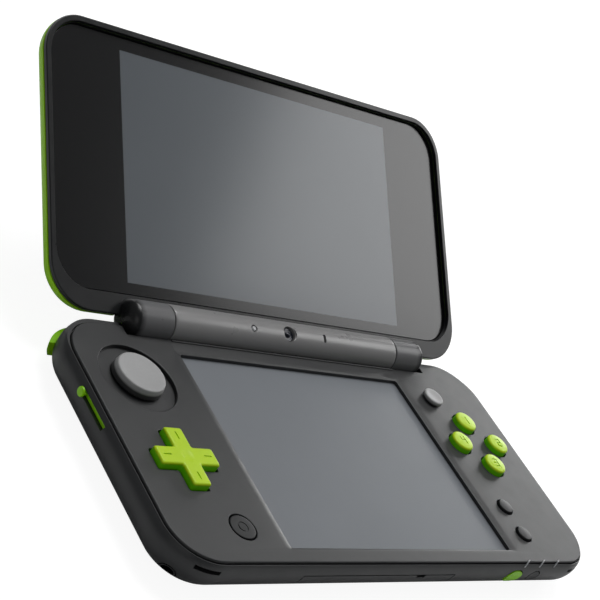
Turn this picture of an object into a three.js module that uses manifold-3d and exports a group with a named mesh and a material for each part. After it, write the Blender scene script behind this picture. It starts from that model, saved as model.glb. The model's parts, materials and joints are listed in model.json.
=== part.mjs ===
// Clamshell handheld game console, open, lengths in millimetres, +Z up.
// The origin is the centre of the flat underside. +X is the right-hand side and -Y the front edge.
import * as THREE from 'three';
import { mergeVertices } from 'three/addons/utils/BufferGeometryUtils.js';
import Module from 'manifold-3d';

const wasm = await Module();
wasm.setup();

// Fineness of round shapes, in counts
const CORNER_STEPS = 5;
const PLAIN_CORNER_STEPS = 2;
const SMALL_ROUND_STEPS = 14;
const BUTTON_STEPS = 20;
const LARGE_ROUND_STEPS = 30;
const WALL_CURVE_STEPS = 4;
const WALL_TOP_STEPS = 3;
const LID_ROUND_STEPS = 4;

// Common clearances and one overrun for all cuts
const OVERRUN = 1;
const FIT_GAP = 0.3;
const MERGE_DISTANCE = 0.0001;

// Base
const BASE_WIDTH = 160;
const BASE_DEPTH = 79.2;
const BASE_HEIGHT = 12;
const BASE_CORNER_RADIUS = 14;
const WALL_CURVE_RADIUS = 8.3;
const BACK_CURVE_RADIUS = 5;
const BACK_FOLLOW_SHARE = 0.25;
const WALL_TOP_INSET = 1.5;
const FRONT_FOLLOW_SHARE = 0.4;
const SHELL_WALL = 1.4;
const SHELL_TOP = 11.35;

// Top cover
const COVER_THICKNESS = 1.5;
const COVER_INSET = 2;
const COVER_INSET_FRONT = 1.1;
const COVER_EDGE_CHAMFER = 0.35;
const COVER_LIP_WIDTH = 0.7;
const COVER_LIP_HEIGHT = 0.35;

// Hinge
const HINGE_BEHIND_WALL = 0.3;
const HINGE_ABOVE_COVER = 0.57;
const BARREL_RADIUS = 5.2;
const BARREL_GAP = 0.4;
const BARREL_END_FROM_SIDE = 36.7;
const BARREL_EDGE_CHAMFER = 0.3;
const KNUCKLE_LENGTH = 11;
const KNUCKLE_DOME = 3;
const PIN_RADIUS = 1.5;
const PIN_LENGTH = 16;
const PIN_IN_BARREL = 7;
const PIN_FIT = 0.1;
const TROUGH_WALL = 1.2;
const TROUGH_TOP_BELOW_COVER = 0.3;

// Lid, in its own frame: X along the hinge, Y up the lid from the hinge axis, Z towards the viewer
const LID_TILT_DEG = 34.6;
const LID_INSET = 1.6;
const LID_HEIGHT = 78.7;
const LID_LOW_EDGE = 0.9;
const LID_THICKNESS = 7.8;
const LID_FACE_BEHIND_AXIS = 0.45;
const LID_CORNER_RADIUS = 12;
const LID_SHELL_WALL = 1.5;
const LID_BACK_WALL = 0.75;
const LID_PANEL_INSET = 7.2;
const LID_PANEL_THICKNESS = 0.65;
const LID_PANEL_PROUD = 0.2;
const LID_FLANGE_THICKNESS = 1.3;
const LID_FRAME_FLOOR = 1;
const LID_FRAME_EDGE = 0.3;
const LID_RIM_WIDTH = 1.55;
const GLASS_RECESS_DEPTH = 1.6;
const GLASS_RECESS_LOW = 6.4;
const GLASS_RECESS_BELOW_TOP = 1.6;
const GLASS_RECESS_RADIUS = 10.4;
const GLASS_THICKNESS = 1;
const UPPER_BORDER_SIDE = 25.3;
const UPPER_BORDER_TOP = 4.19;
const UPPER_BORDER_LOW = 3.69;
const UPPER_LCD_BORDER = 1.7;
const UPPER_LCD_THICKNESS = 2.4;
const OUTER_CAMERA_SPACING = 35;
const OUTER_CAMERA_BELOW_TOP = 13.6;
const OUTER_CAMERA_RADIUS = 2.6;
const OUTER_CAMERA_DEPTH = 1.2;
const OUTER_LENS_SINK = 0.3;

// Lower display
const WINDOW_BORDER_SIDE = 37.52;
const WINDOW_BORDER_FRONT = 5.64;
const WINDOW_BORDER_BACK = 9.84;
const WINDOW_CORNER_RADIUS = 0.8;
const WINDOW_BEVEL_SIDE = 2.5;
const WINDOW_BEVEL_END = 0.9;
const WINDOW_BEVEL_DEPTH = 0.5;
const TOUCH_PANEL_MARGIN = 2.1;
const TOUCH_PANEL_THICKNESS = 0.6;
const LOWER_LCD_MARGIN = 0.8;
const LOWER_LCD_THICKNESS = 1.3;

// Main board, sockets and battery
const BOARD_TOP_BELOW_COVER = 4;
const BOARD_THICKNESS = 0.8;
const BOARD_CENTRE_FROM_SIDE = 33;
const BOARD_FROM_SIDE = 5;
const BOARD_FROM_FRONT = 5.1;
const BOARD_FROM_BACK = 5.7;
const BOARD_BEFORE_PAD = 1.5;
const BOARD_BEHIND_SPEAKER = 1.6;
const BOARD_BESIDE_SPEAKER = 1.2;
const BOARD_WING_FROM_FRONT = 7.1;
const BOARD_BEHIND_STYLUS = 2;
const BOARD_BESIDE_STYLUS = 3.2;
const BOARD_WING_BESIDE_STYLUS = 4.4;
const BOARD_CORNER_CUT = 4;
const BATTERY_FROM_SIDE = 52;
const BATTERY_BEHIND_SOCKET = 2.2;
const BATTERY_HEIGHT = 4.8;
const BATTERY_BESIDE_STYLUS = 14.8;
const BATTERY_FROM_BACK = 8.6;
const CARD_SLOT_WIDTH = 33.4;
const CARD_SLOT_HEIGHT = 4.2;
const CARD_SLOT_DEPTH = 31;
const CARD_SOCKET_WALL = 0.5;
const SOCKET_BEHIND_FRONT = 5.9;
const SOCKET_GAP_SHARES = [0.304, 0.106];
const MEMORY_SLOT_WIDTH = 11.4;
const MEMORY_SLOT_HEIGHT = 1.1;
const MEMORY_SLOT_DEPTH = 14;
const MEMORY_SOCKET_WALL = 0.6;
const CHARGE_X = 14;
const CHARGE_Z = 3.9;
const CHARGE_WIDTH = 7.6;
const CHARGE_HEIGHT = 2.2;
const CHARGE_DEPTH = 5.2;
const CHARGE_WALL = 0.6;
const CHARGE_LENGTH = 8;
const CHARGE_RECESSED = 0.6;
const CHARGE_TONGUE_WIDTH_SHARE = 0.34;
const CHARGE_TONGUE_HEIGHT_SHARE = 0.13;
const JACK_BORE_RADIUS = 1.75;
const JACK_COLLAR_RADIUS = 2.1;
const JACK_BODY_WIDTH = 6;
const JACK_BODY_HEIGHT = 4.2;
const JACK_BODY_LENGTH = 11;
const JACK_BORE_DEPTH = 9.5;
const JACK_COLLAR_LENGTH = 5.8;
const JACK_Z = 3.2;
const JACK_AROUND_CORNER_DEG = 221;

// Card door in the front wall
const DOOR_PAST_CARD = 3;
const DOOR_PAST_MEMORY = 1.3;
const DOOR_LOW = 2;
const DOOR_TOP = 8;
const DOOR_NOTCH_FROM_END = 13.1;
const DOOR_NOTCH_WIDTH = 3.2;
const DOOR_NOTCH_HEIGHT = 0.9;

// Speakers and their slots
const SPEAKER_WIDTH = 14;
const SPEAKER_BEFORE_CROSS = 3.5;
const SPEAKER_HEIGHT = 2.8;
const SPEAKER_CORNER_SHARE = 0.35;
const SPEAKER_FROM_SIDE = 12.2;
const SPEAKER_FROM_FRONT = 5.7;
const SPEAKER_SLOT_Z = 9.2;
const SPEAKER_SLOT_HEIGHT = 1.15;
const SPEAKER_SLOT_FROM_DEG = 234;
const SPEAKER_SLOT_TO_DEG = 266;
const SPEAKER_CONE_SHARE = 0.34;
const SPEAKER_CONE_DEPTH = 0.7;

// Rows of controls, from the hinge to the front, as shares of the free room between them
const CONTROLS_FROM_BACK = 6;
const CONTROLS_FROM_FRONT = 0.4;
const LEFT_ROW_GAP_SHARES = [0.1765, 0.23, 0.2379];
const RIGHT_ROW_GAP_SHARES = [0.2305, 0.1007, 0.3149, 0.1169];

// Circle pad
const PAD_FROM_SIDE = 17.8;
const PAD_WELL_RADIUS = 11.15;
const PAD_WELL_DEPTH = 1.1;
const PAD_FLOOR_THICKNESS = 0.8;
const PAD_FLOOR_MARGIN = 1.5;
const PAD_HOLE_RADIUS = 6.5;
const PAD_TRAVEL = 2.5;
const PAD_CAP_LOW_RADIUS = 7.3;
const PAD_CAP_TOP_RADIUS = 6.6;
const PAD_CAP_TOP_ABOVE_COVER = 2;
const PAD_CAP_DISH_DEPTH = 0.55;
const PAD_CAP_EDGE = 0.45;
const PAD_CAP_EDGE_SHARES = [0.5, 0.25];
const PAD_DISH_RADIUS_SHARES = [0.75, 0.33];
const PAD_DISH_DEPTH_SHARE = 0.67;
const PAD_NECK_RADIUS = 2.2;
const PAD_STEM_RADIUS = 1.5;
const PAD_STEM_IN_CAP = 1;
const PAD_PLATE_THICKNESS = 0.6;
const PAD_RIB_WIDTH = 2.6;
const PAD_RIB_LENGTH = 12;
const PAD_RIB_HEIGHT = 0.9;
const PAD_CARRIER_THICKNESS = 0.7;
const PAD_CARRIER_HALF_WIDTH = 6.5;
const PAD_CARRIER_HALF_LENGTH = 9.6;
const PAD_BASE_HALF_WIDTH = 11;
const PAD_BASE_HALF_LENGTH = 11.4;
const PAD_BASE_THICKNESS = 0.8;
const PAD_RAIL_WIDTH = 1.2;

// Cross pad
const CROSS_FROM_SIDE = 17.8;
const CROSS_HALF_LENGTH = 9;
const CROSS_HALF_WIDTH = 2.75;
const CROSS_GAP = 0.45;
const CROSS_ABOVE_COVER = 1.8;
const CROSS_EDGE = 0.5;
const CROSS_FLANGE_OUT = 0.9;
const CROSS_FLANGE_TOP_BELOW_COVER = 2.3;
const CROSS_FLANGE_THICKNESS = 0.6;
const CROSS_RING_RADIUS = 2.7;
const CROSS_RING_BORE = 1.9;
const CROSS_RING_HEIGHT = 0.5;
const CROSS_STEM_RADIUS = 1.4;

// Stick nub
const NUB_FROM_SIDE = 27;
const NUB_RADIUS = 3.3;
const NUB_TOP_RADIUS = 2.8;
const NUB_ABOVE_COVER = 1.6;
const NUB_POST_RADIUS = 1.2;
const NUB_POST_IN_CAP = 0.6;
const NUB_HOLE_RADIUS = 2;
const NUB_RING_RADIUS = 3.6;
const NUB_RING_BORE = 1.7;
const NUB_RING_HEIGHT = 0.7;
const NUB_DISH = 0.25;

// Push buttons on the cover
const FACE_FROM_SIDE = 19.6;
const FACE_SPREAD = 8.3;
const FACE_RADIUS = 3.65;
const FACE_ABOVE_COVER = 1.9;
const MENU_FROM_SIDE = 27.3;
const MENU_RADIUS = 2.4;
const MENU_ABOVE_COVER = 0.75;
const HOME_FROM_SIDE = 24.9;
const HOME_RADIUS = 3.6;
const HOME_ABOVE_COVER = 0.1;
const BUTTON_GAP = 0.35;
const BUTTON_EDGE = 0.35;
const BUTTON_FLANGE = 0.75;
const BUTTON_FLANGE_THICKNESS = 0.7;
const DIGIT_DEPTH = 0.2;
const DIGIT_STROKE = 0.32;
const DIGIT_HEIGHT = 2.6;
const DIGIT_WIDTH = 1.5;

// Rubber dome sheets on the board
const SHEET_THICKNESS = 0.3;
const DOME_RADIUS = 1.6;
const DOME_HEIGHT = 0.22;
const SHEET_RADIUS = 2;
const RIGHT_SHEET_MARGIN = 5.6;
const LEFT_SHEET_HALF = 11.3;
const LEFT_SHEET_NECK = 4.4;

// Light guide for the three light marks
const LIGHT_FROM_SIDE = 35.7;
const LIGHT_PITCH = 6.7;
const LIGHT_COUNT = 3;
const LIGHT_WIDTH = 1;
const LIGHT_RUN = 0.9;
const LIGHT_BAR_WIDTH = 0.6;
const LIGHT_BAR_HEIGHT = 0.8;
const LIGHT_PROUD = 0.05;
const LIGHT_DROP = 0.7;
const LIGHT_NOTCH = 0.2;

// Stylus and its channel
const STYLUS_FROM_SIDE = 35.2;
const STYLUS_Z = 6.4;
const STYLUS_RADIUS = 1.9;
const STYLUS_LENGTH = 58;
const STYLUS_TIP_LENGTH = 7;
const STYLUS_TIP_RADIUS = 0.7;
const STYLUS_HEAD_WIDTH = 5.8;
const STYLUS_HEAD_HEIGHT = 5;
const STYLUS_HEAD_SHIFT = -1.4;
const STYLUS_HEAD_RISE = 0.5;
const STYLUS_HEAD_DEPTH = 3;
const STYLUS_HEAD_PROUD = 0.25;
const STYLUS_HEAD_RADIUS = 2.3;
const CHANNEL_WALL = 0.7;
const CHANNEL_LENGTH = 24;

// Power button and volume slider
const POWER_FROM_SIDE = 27.6;
const POWER_Z = 7;
const POWER_RADIUS = 2.1;
const POWER_BODY_LENGTH = 4.4;
const POWER_FLANGE = 0.7;
const VOLUME_Z = 9.55;
const VOLUME_FROM_BACK = 23.8;
const VOLUME_SLOT_LENGTH = 13.3;
const VOLUME_SLOT_HEIGHT = 1.2;
const VOLUME_TRAVEL = 10;
const VOLUME_KNOB_RADIUS = 1.3;
const VOLUME_KNOB_PROUD = 0.7;
const VOLUME_NECK_HEIGHT = 0.6;
const VOLUME_NECK_WIDTH = 1.8;
const VOLUME_PLATE_LOW = 8.9;
const VOLUME_PLATE_THICKNESS = 0.7;
const VOLUME_POCKET_INSET = 1.25;

// Shoulder buttons and triggers in the back wall
const SHOULDER_REACH_X = 19.6;
const SHOULDER_REACH_Y = 5.4;
const SHOULDER_LOW = 2.2;
const SHOULDER_TOP = 6.4;
const SHOULDER_PROUD = 1.3;
const SHOULDER_DEPTH = 2.4;
const SHOULDER_SWING_GAP = 0.9;
const TRIGGER_INNER_FROM_SIDE = 34;
const TRIGGER_OUTER_FROM_SIDE = 23.4;
const TRIGGER_LOW = 2.2;
const TRIGGER_TOP = 5.9;
const TRIGGER_PROUD = 0.9;
const TRIGGER_DEPTH = 2.6;

// Fairing under the barrel, at the back of the base
const FAIRING_REACH = 3.6;
const FAIRING_ROOT = 3;
const FAIRING_LOW_BACK = 1.7;
const FAIRING_FLAT_FRONT = 2.2;
const FAIRING_TOP = 7.6;
const FAIRING_BULGE_Z = 4.4;
const FAIRING_TOP_BACK = 2.3;

// Camera, light and microphone in the barrel
const CAMERA_X = -1.3;
const CAMERA_RADIUS = 1.9;
const CAMERA_POCKET_DEPTH = 2.6;
const CAMERA_LENS_DEPTH = 1.6;
const LENS_RIM_SHARE = 0.75;
const SIGNAL_X = -15.2;
const SIGNAL_RADIUS = 0.7;
const SIGNAL_DEPTH = 1.4;
const MIC_X = 12.6;
const MIC_WIDTH = 1;
const MIC_LENGTH = 2.4;
const MIC_DEPTH = 2.2;
const MIC_CAPSULE_DEPTH = 1.2;
const MIC_CAPSULE_GAP = 0.2;
const EYE_TURN_DEG = 26;

// Screws and inlaid foot pads on the underside
const SCREW_FROM_SIDE = 28;
const SCREW_FROM_FRONT = 11.6;
const SCREW_FROM_BACK = 12.7;
const SCREW_HEAD_RADIUS = 2.1;
const SCREW_HEAD_HEIGHT = 0.9;
const SCREW_SHANK_RADIUS = 0.9;
const SCREW_LENGTH = 5;
const SCREW_SINK = 0.2;
const SCREW_SLOT_WIDTH = 0.5;
const SCREW_SLOT_DEPTH = 0.45;
const SCREW_SLOT_SHARE = 0.67;
const BOSS_WALL = 1;
const BOSS_TOP = 6.7;
const FOOT_FROM_SIDE = 16;
const FOOT_FROM_END = 12.1;
const FOOT_RADIUS = 3.6;
const FOOT_HEIGHT = 0.6;
const FOOT_EDGE = 0.15;

// Places worked out from the sizes above
const HALF_WIDTH = BASE_WIDTH / 2;
const HALF_DEPTH = BASE_DEPTH / 2;
const COVER_BOTTOM = BASE_HEIGHT - COVER_THICKNESS;
const COVER_FRONT = -HALF_DEPTH + COVER_INSET_FRONT;
const COVER_HALF_DEPTH = HALF_DEPTH - (COVER_INSET + COVER_INSET_FRONT) / 2;
const COVER_Y = (COVER_INSET_FRONT - COVER_INSET) / 2;
const WALL_TOP_RISE = SHELL_TOP - WALL_CURVE_RADIUS;
const WALL_TOP_RADIUS = (WALL_TOP_RISE ** 2 + WALL_TOP_INSET ** 2) / (WALL_TOP_INSET * 2);
const HINGE_Y = HALF_DEPTH + HINGE_BEHIND_WALL;
const HINGE_Z = BASE_HEIGHT + HINGE_ABOVE_COVER;
const BARREL_HALF_LENGTH = HALF_WIDTH - BARREL_END_FROM_SIDE;
const TROUGH_RADIUS = BARREL_RADIUS + BARREL_GAP;
const KNUCKLE_START = BARREL_HALF_LENGTH + FIT_GAP;
const KNUCKLE_END = KNUCKLE_START + KNUCKLE_LENGTH + KNUCKLE_DOME;
const TROUGH_HALF_LENGTH = KNUCKLE_END + BARREL_GAP;
const BOARD_TOP = BASE_HEIGHT - BOARD_TOP_BELOW_COVER;
const BOARD_BOTTOM = BOARD_TOP - BOARD_THICKNESS;
const WINDOW_HALF_WIDTH = HALF_WIDTH - WINDOW_BORDER_SIDE;
const WINDOW_HALF_HEIGHT = (BASE_DEPTH - WINDOW_BORDER_FRONT - WINDOW_BORDER_BACK) / 2;
const LOWER_DISPLAY_Y = (WINDOW_BORDER_FRONT - WINDOW_BORDER_BACK) / 2;
const FLANGE_TOP = COVER_BOTTOM - FIT_GAP;
const SHEET_TOP = BOARD_TOP + SHEET_THICKNESS;
const PAD_FLOOR_TOP = BASE_HEIGHT - PAD_WELL_DEPTH;
const PAD_FLOOR_BOTTOM = PAD_FLOOR_TOP - PAD_FLOOR_THICKNESS;
const PAD_PLATE_TOP = PAD_FLOOR_BOTTOM - FIT_GAP;
const PAD_PLATE_BOTTOM = PAD_PLATE_TOP - PAD_PLATE_THICKNESS;
const PAD_PLATE_RADIUS = PAD_HOLE_RADIUS + PAD_TRAVEL * Math.SQRT2 + FIT_GAP;
const PAD_CARRIER_TOP = PAD_PLATE_BOTTOM - FIT_GAP;
const PAD_CARRIER_BOTTOM = PAD_CARRIER_TOP - PAD_CARRIER_THICKNESS;
const PAD_BASE_TOP = PAD_CARRIER_BOTTOM - FIT_GAP;
const PAD_CAP_BOTTOM = PAD_FLOOR_TOP + FIT_GAP;
const CROSS_FLANGE_TOP = BASE_HEIGHT - CROSS_FLANGE_TOP_BELOW_COVER;

// Left row: circle pad, cross pad, home button
const ROW_BACK = HALF_DEPTH - CONTROLS_FROM_BACK;
const ROW_FRONT = -HALF_DEPTH + CONTROLS_FROM_FRONT;
const HOME_REACH = HOME_RADIUS + BUTTON_FLANGE;
const LEFT_ROW_ROOM = ROW_BACK - ROW_FRONT - (PAD_BASE_HALF_LENGTH + LEFT_SHEET_HALF + HOME_REACH) * 2;
const PAD_X = -HALF_WIDTH + PAD_FROM_SIDE;
const PAD_Y = ROW_BACK - LEFT_ROW_ROOM * LEFT_ROW_GAP_SHARES[0] - PAD_BASE_HALF_LENGTH;
const CROSS_X = -HALF_WIDTH + CROSS_FROM_SIDE;
const CROSS_Y = PAD_Y - PAD_BASE_HALF_LENGTH - LEFT_ROW_ROOM * LEFT_ROW_GAP_SHARES[1] - LEFT_SHEET_HALF;
const HOME_X = -HALF_WIDTH + HOME_FROM_SIDE;
const HOME_Y = CROSS_Y - LEFT_SHEET_HALF - LEFT_ROW_ROOM * LEFT_ROW_GAP_SHARES[2] - HOME_REACH;

// Right row: stick, face buttons, two menu buttons
const FACE_SHEET_HALF = FACE_SPREAD + RIGHT_SHEET_MARGIN / 2;
const MENU_REACH = MENU_RADIUS + BUTTON_FLANGE;
const RIGHT_ROW_ROOM = ROW_BACK - ROW_FRONT - (NUB_RING_RADIUS + FACE_SHEET_HALF + MENU_REACH * 2) * 2;
const NUB_X = HALF_WIDTH - NUB_FROM_SIDE;
const NUB_Y = ROW_BACK - RIGHT_ROW_ROOM * RIGHT_ROW_GAP_SHARES[0] - NUB_RING_RADIUS;
const FACE_X = HALF_WIDTH - FACE_FROM_SIDE;
const FACE_Y = NUB_Y - NUB_RING_RADIUS - RIGHT_ROW_ROOM * RIGHT_ROW_GAP_SHARES[1] - FACE_SHEET_HALF;
const MENU_X = HALF_WIDTH - MENU_FROM_SIDE;
const MENU_UPPER_Y = FACE_Y - FACE_SHEET_HALF - RIGHT_ROW_ROOM * RIGHT_ROW_GAP_SHARES[2] - MENU_REACH;
const MENU_LOWER_Y = MENU_UPPER_Y - RIGHT_ROW_ROOM * RIGHT_ROW_GAP_SHARES[3] - MENU_REACH * 2;

// Speakers fill the room between the front wall and the cross pad
const SPEAKER_FRONT = -HALF_DEPTH + SPEAKER_FROM_FRONT;
const SPEAKER_BACK = CROSS_Y - CROSS_HALF_LENGTH - CROSS_FLANGE_OUT - SPEAKER_BEFORE_CROSS;
const SPEAKER_DEPTH = SPEAKER_BACK - SPEAKER_FRONT;
const SPEAKER_X = HALF_WIDTH - SPEAKER_FROM_SIDE;

// Things in the front and side walls
const STYLUS_X = HALF_WIDTH - STYLUS_FROM_SIDE;
const POWER_X = HALF_WIDTH - POWER_FROM_SIDE;
const LIGHT_FIRST_X = HALF_WIDTH - LIGHT_FROM_SIDE;
const LIGHT_BAR_FRONT = -HALF_DEPTH + frontInset(-SHELL_WALL, COVER_BOTTOM) + FIT_GAP;
const LIGHT_BAR_TOP = COVER_BOTTOM - FIT_GAP;
const LIGHT_BAR_LOW = LIGHT_BAR_TOP - LIGHT_BAR_HEIGHT;
const VOLUME_SLOT_BACK = HALF_DEPTH - VOLUME_FROM_BACK;
const VOLUME_SLOT_FRONT = VOLUME_SLOT_BACK - VOLUME_SLOT_LENGTH;
const VOLUME_PLATE_BACK = VOLUME_SLOT_BACK + VOLUME_TRAVEL + FIT_GAP;
const VOLUME_POCKET_X = -HALF_WIDTH + VOLUME_POCKET_INSET;
const SHOULDER_INNER_X = HALF_WIDTH - SHOULDER_REACH_X;
const SHOULDER_FRONT_Y = HALF_DEPTH - SHOULDER_REACH_Y;
const TRIGGER_INNER_X = HALF_WIDTH - TRIGGER_INNER_FROM_SIDE;
const TRIGGER_OUTER_X = HALF_WIDTH - TRIGGER_OUTER_FROM_SIDE;

// Card sockets share the room between the left screw post and the stylus
const SCREW_X = HALF_WIDTH - SCREW_FROM_SIDE;
const BOSS_RADIUS = SCREW_SHANK_RADIUS + FIT_GAP * 2 + BOSS_WALL;
const CHANNEL_RADIUS = STYLUS_RADIUS + FIT_GAP + CHANNEL_WALL;
const CARD_WIDTH = CARD_SLOT_WIDTH + CARD_SOCKET_WALL * 2;
const MEMORY_WIDTH = MEMORY_SLOT_WIDTH + MEMORY_SOCKET_WALL * 2;
const SOCKETS_LEFT = -SCREW_X + BOSS_RADIUS;
const SOCKETS_ROOM = STYLUS_X - CHANNEL_RADIUS - SOCKETS_LEFT - CARD_WIDTH - MEMORY_WIDTH;
const CARD_LEFT = SOCKETS_LEFT + SOCKETS_ROOM * SOCKET_GAP_SHARES[0];
const MEMORY_LEFT = CARD_LEFT + CARD_WIDTH + SOCKETS_ROOM * SOCKET_GAP_SHARES[1];
const SOCKET_FRONT = -HALF_DEPTH + SOCKET_BEHIND_FRONT;
const DOOR_LEFT = CARD_LEFT - DOOR_PAST_CARD;
const DOOR_RIGHT = MEMORY_LEFT + MEMORY_WIDTH + DOOR_PAST_MEMORY;
const BATTERY_LEFT = -HALF_WIDTH + BATTERY_FROM_SIDE;
const BATTERY_RIGHT = STYLUS_X - BATTERY_BESIDE_STYLUS;
const BATTERY_FRONT = SOCKET_FRONT + CARD_SLOT_DEPTH + CARD_SOCKET_WALL + BATTERY_BEHIND_SOCKET;
const BATTERY_BACK = HALF_DEPTH - BATTERY_FROM_BACK;

// Lid
const LID_FACE = -LID_FACE_BEHIND_AXIS;
const LID_BACK = LID_FACE - LID_THICKNESS;
const LID_TOP = LID_LOW_EDGE + LID_HEIGHT;
const LID_HALF_WIDTH = HALF_WIDTH - LID_INSET;
const LID_FLANGE_BACK = LID_FACE - LID_FLANGE_THICKNESS;
const LID_SHELL_FRONT = LID_FLANGE_BACK - FIT_GAP;
const LID_SHELL_BACK = LID_BACK + LID_PANEL_PROUD;
const LID_BACK_ROUND = LID_SHELL_FRONT - LID_SHELL_BACK;
const LID_INNER_BACK = LID_BACK + LID_PANEL_THICKNESS + FIT_GAP + LID_BACK_WALL;
const GLASS_TOP = LID_FACE - GLASS_RECESS_DEPTH;
const GLASS_BOTTOM = GLASS_TOP - GLASS_THICKNESS;
const GLASS_RECESS_FLOOR = GLASS_BOTTOM - FIT_GAP;
const LID_FRAME_BACK = GLASS_RECESS_FLOOR - LID_FRAME_FLOOR;
const LID_FRAME_INSET = lidShellInset(LID_FRAME_BACK) + LID_SHELL_WALL + FIT_GAP;
const GLASS_HALF_WIDTH = LID_HALF_WIDTH - LID_RIM_WIDTH;
const GLASS_RECESS_TOP = LID_TOP - GLASS_RECESS_BELOW_TOP;
const UPPER_LCD_TOP = GLASS_BOTTOM - FIT_GAP;
const UPPER_HALF_WIDTH = LID_HALF_WIDTH - UPPER_BORDER_SIDE;
const UPPER_LOW = GLASS_RECESS_LOW + UPPER_BORDER_LOW;
const UPPER_HALF_HEIGHT = (GLASS_RECESS_TOP - UPPER_BORDER_TOP - UPPER_LOW) / 2;
const UPPER_CENTRE = UPPER_LOW + UPPER_HALF_HEIGHT;
const OUTER_CAMERA_UP_LID = LID_TOP - OUTER_CAMERA_BELOW_TOP;

// Turns a closed geometry into a solid
function toSolid(geometry) {
  const bare = geometry.clone();
  bare.deleteAttribute('normal');
  bare.deleteAttribute('uv');
  const merged = mergeVertices(bare, MERGE_DISTANCE);
  const vertProperties = new Float32Array(merged.attributes.position.array);
  const triVerts = new Uint32Array(merged.index.array);
  return new wasm.Manifold(new wasm.Mesh({ numProp: 3, vertProperties, triVerts }));
}

// Turns a solid back into a geometry
function toGeometry(solid) {
  const mesh = solid.getMesh();
  const geometry = new THREE.BufferGeometry();
  geometry.setAttribute('position', new THREE.BufferAttribute(new Float32Array(mesh.vertProperties), 3));
  geometry.setIndex(new THREE.BufferAttribute(new Uint32Array(mesh.triVerts), 1));
  geometry.computeVertexNormals();
  return geometry;
}

function join(...geometries) {
  const solids = geometries.map(toSolid);
  return toGeometry(solids.reduce((sum, solid) => sum.add(solid)));
}

function cut(geometry, ...tools) {
  const solids = tools.map(toSolid);
  return toGeometry(solids.reduce((rest, solid) => rest.subtract(solid), toSolid(geometry)));
}

function common(first, second) {
  return toGeometry(toSolid(first).intersect(toSolid(second)));
}

// A block between two corners
function block(x0, x1, y0, y1, z0, z1) {
  const geometry = new THREE.BoxGeometry(x1 - x0, y1 - y0, z1 - z0);
  geometry.translate((x0 + x1) / 2, (y0 + y1) / 2, (z0 + z1) / 2);
  return geometry;
}

// A round bar standing along Z
function post(x, y, z0, z1, radius, topRadius = radius, steps = SMALL_ROUND_STEPS) {
  const geometry = new THREE.CylinderGeometry(topRadius, radius, z1 - z0, steps);
  geometry.rotateX(Math.PI / 2);
  geometry.translate(x, y, (z0 + z1) / 2);
  return geometry;
}

// A round bar lying along X
function barAlongX(x0, x1, y, z, radius, steps = LARGE_ROUND_STEPS) {
  const geometry = new THREE.CylinderGeometry(radius, radius, x1 - x0, steps);
  geometry.rotateZ(-Math.PI / 2);
  geometry.translate((x0 + x1) / 2, y, z);
  return geometry;
}

// A round bar lying along Y
function barAlongY(x, y0, y1, z, radius, endRadius = radius, steps = SMALL_ROUND_STEPS) {
  const geometry = new THREE.CylinderGeometry(endRadius, radius, y1 - y0, steps);
  geometry.translate(x, (y0 + y1) / 2, z);
  return geometry;
}

// A solid turned about Z from [radius, height] pairs that start and end on the axis
function turned(profile, steps = SMALL_ROUND_STEPS) {
  const points = profile.map(([radius, height]) => new THREE.Vector2(radius, height));
  const geometry = new THREE.LatheGeometry(points, steps);
  geometry.rotateX(Math.PI / 2);
  return geometry;
}

// Points of a rounded rectangle round the origin, anticlockwise
function roundedPoints(halfX, halfY, radius, steps = CORNER_STEPS) {
  const points = [];
  for (let corner = 0; corner < 4; corner += 1) {
    const signX = corner === 0 || corner === 3 ? 1 : -1;
    const signY = corner < 2 ? 1 : -1;
    for (let step = 0; step <= steps; step += 1) {
      const angle = (corner + step / steps) * Math.PI / 2;
      const x = signX * (halfX - radius) + radius * Math.cos(angle);
      const y = signY * (halfY - radius) + radius * Math.sin(angle);
      points.push(new THREE.Vector2(x, y));
    }
  }
  return points;
}

// A solid through rings of equally many points, each ring { points, z }, listed upwards
function loft(rings, centreY = 0) {
  const count = rings[0].points.length;
  const positions = [];
  for (const ring of rings) {
    for (const point of ring.points) {
      positions.push(point.x, point.y + centreY, ring.z);
    }
  }
  const index = [];
  for (let level = 0; level + 1 < rings.length; level += 1) {
    for (let i = 0; i < count; i += 1) {
      const j = (i + 1) % count;
      const a = level * count + i;
      const b = level * count + j;
      index.push(a, b, b + count, a, b + count, a + count);
    }
  }
  const faces = THREE.ShapeUtils.triangulateShape(rings[0].points, []);
  const last = (rings.length - 1) * count;
  for (const [a, b, c] of faces) {
    index.push(c, b, a);
    index.push(a + last, b + last, c + last);
  }
  const geometry = new THREE.BufferGeometry();
  geometry.setAttribute('position', new THREE.Float32BufferAttribute(positions, 3));
  geometry.setIndex(index);
  return geometry;
}

// A slab with rounded corners between two heights
function roundedSlab(halfX, halfY, radius, z0, z1, centreX = 0, centreY = 0, steps = CORNER_STEPS) {
  const points = roundedPoints(halfX, halfY, radius, steps);
  const geometry = loft([{ points, z: z0 }, { points, z: z1 }], centreY);
  geometry.translate(centreX, 0, 0);
  return geometry;
}

// A slab from an outline of [x, y] pairs
function outlineSlab(pairs, z0, z1) {
  const shape = new THREE.Shape(pairs.map(([x, y]) => new THREE.Vector2(x, y)));
  const geometry = new THREE.ExtrudeGeometry(shape, { depth: z1 - z0, bevelEnabled: false });
  geometry.translate(0, 0, z0);
  return geometry;
}

// A bar along X from an outline of [y, z] pairs
function barFromSection(pairs, x0, x1) {
  const shape = new THREE.Shape(pairs.map(([y, z]) => new THREE.Vector2(y, z)));
  const geometry = new THREE.ExtrudeGeometry(shape, { depth: x1 - x0, bevelEnabled: false });
  geometry.rotateX(Math.PI / 2);
  geometry.rotateZ(Math.PI / 2);
  geometry.translate(x0, 0, 0);
  return geometry;
}

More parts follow.
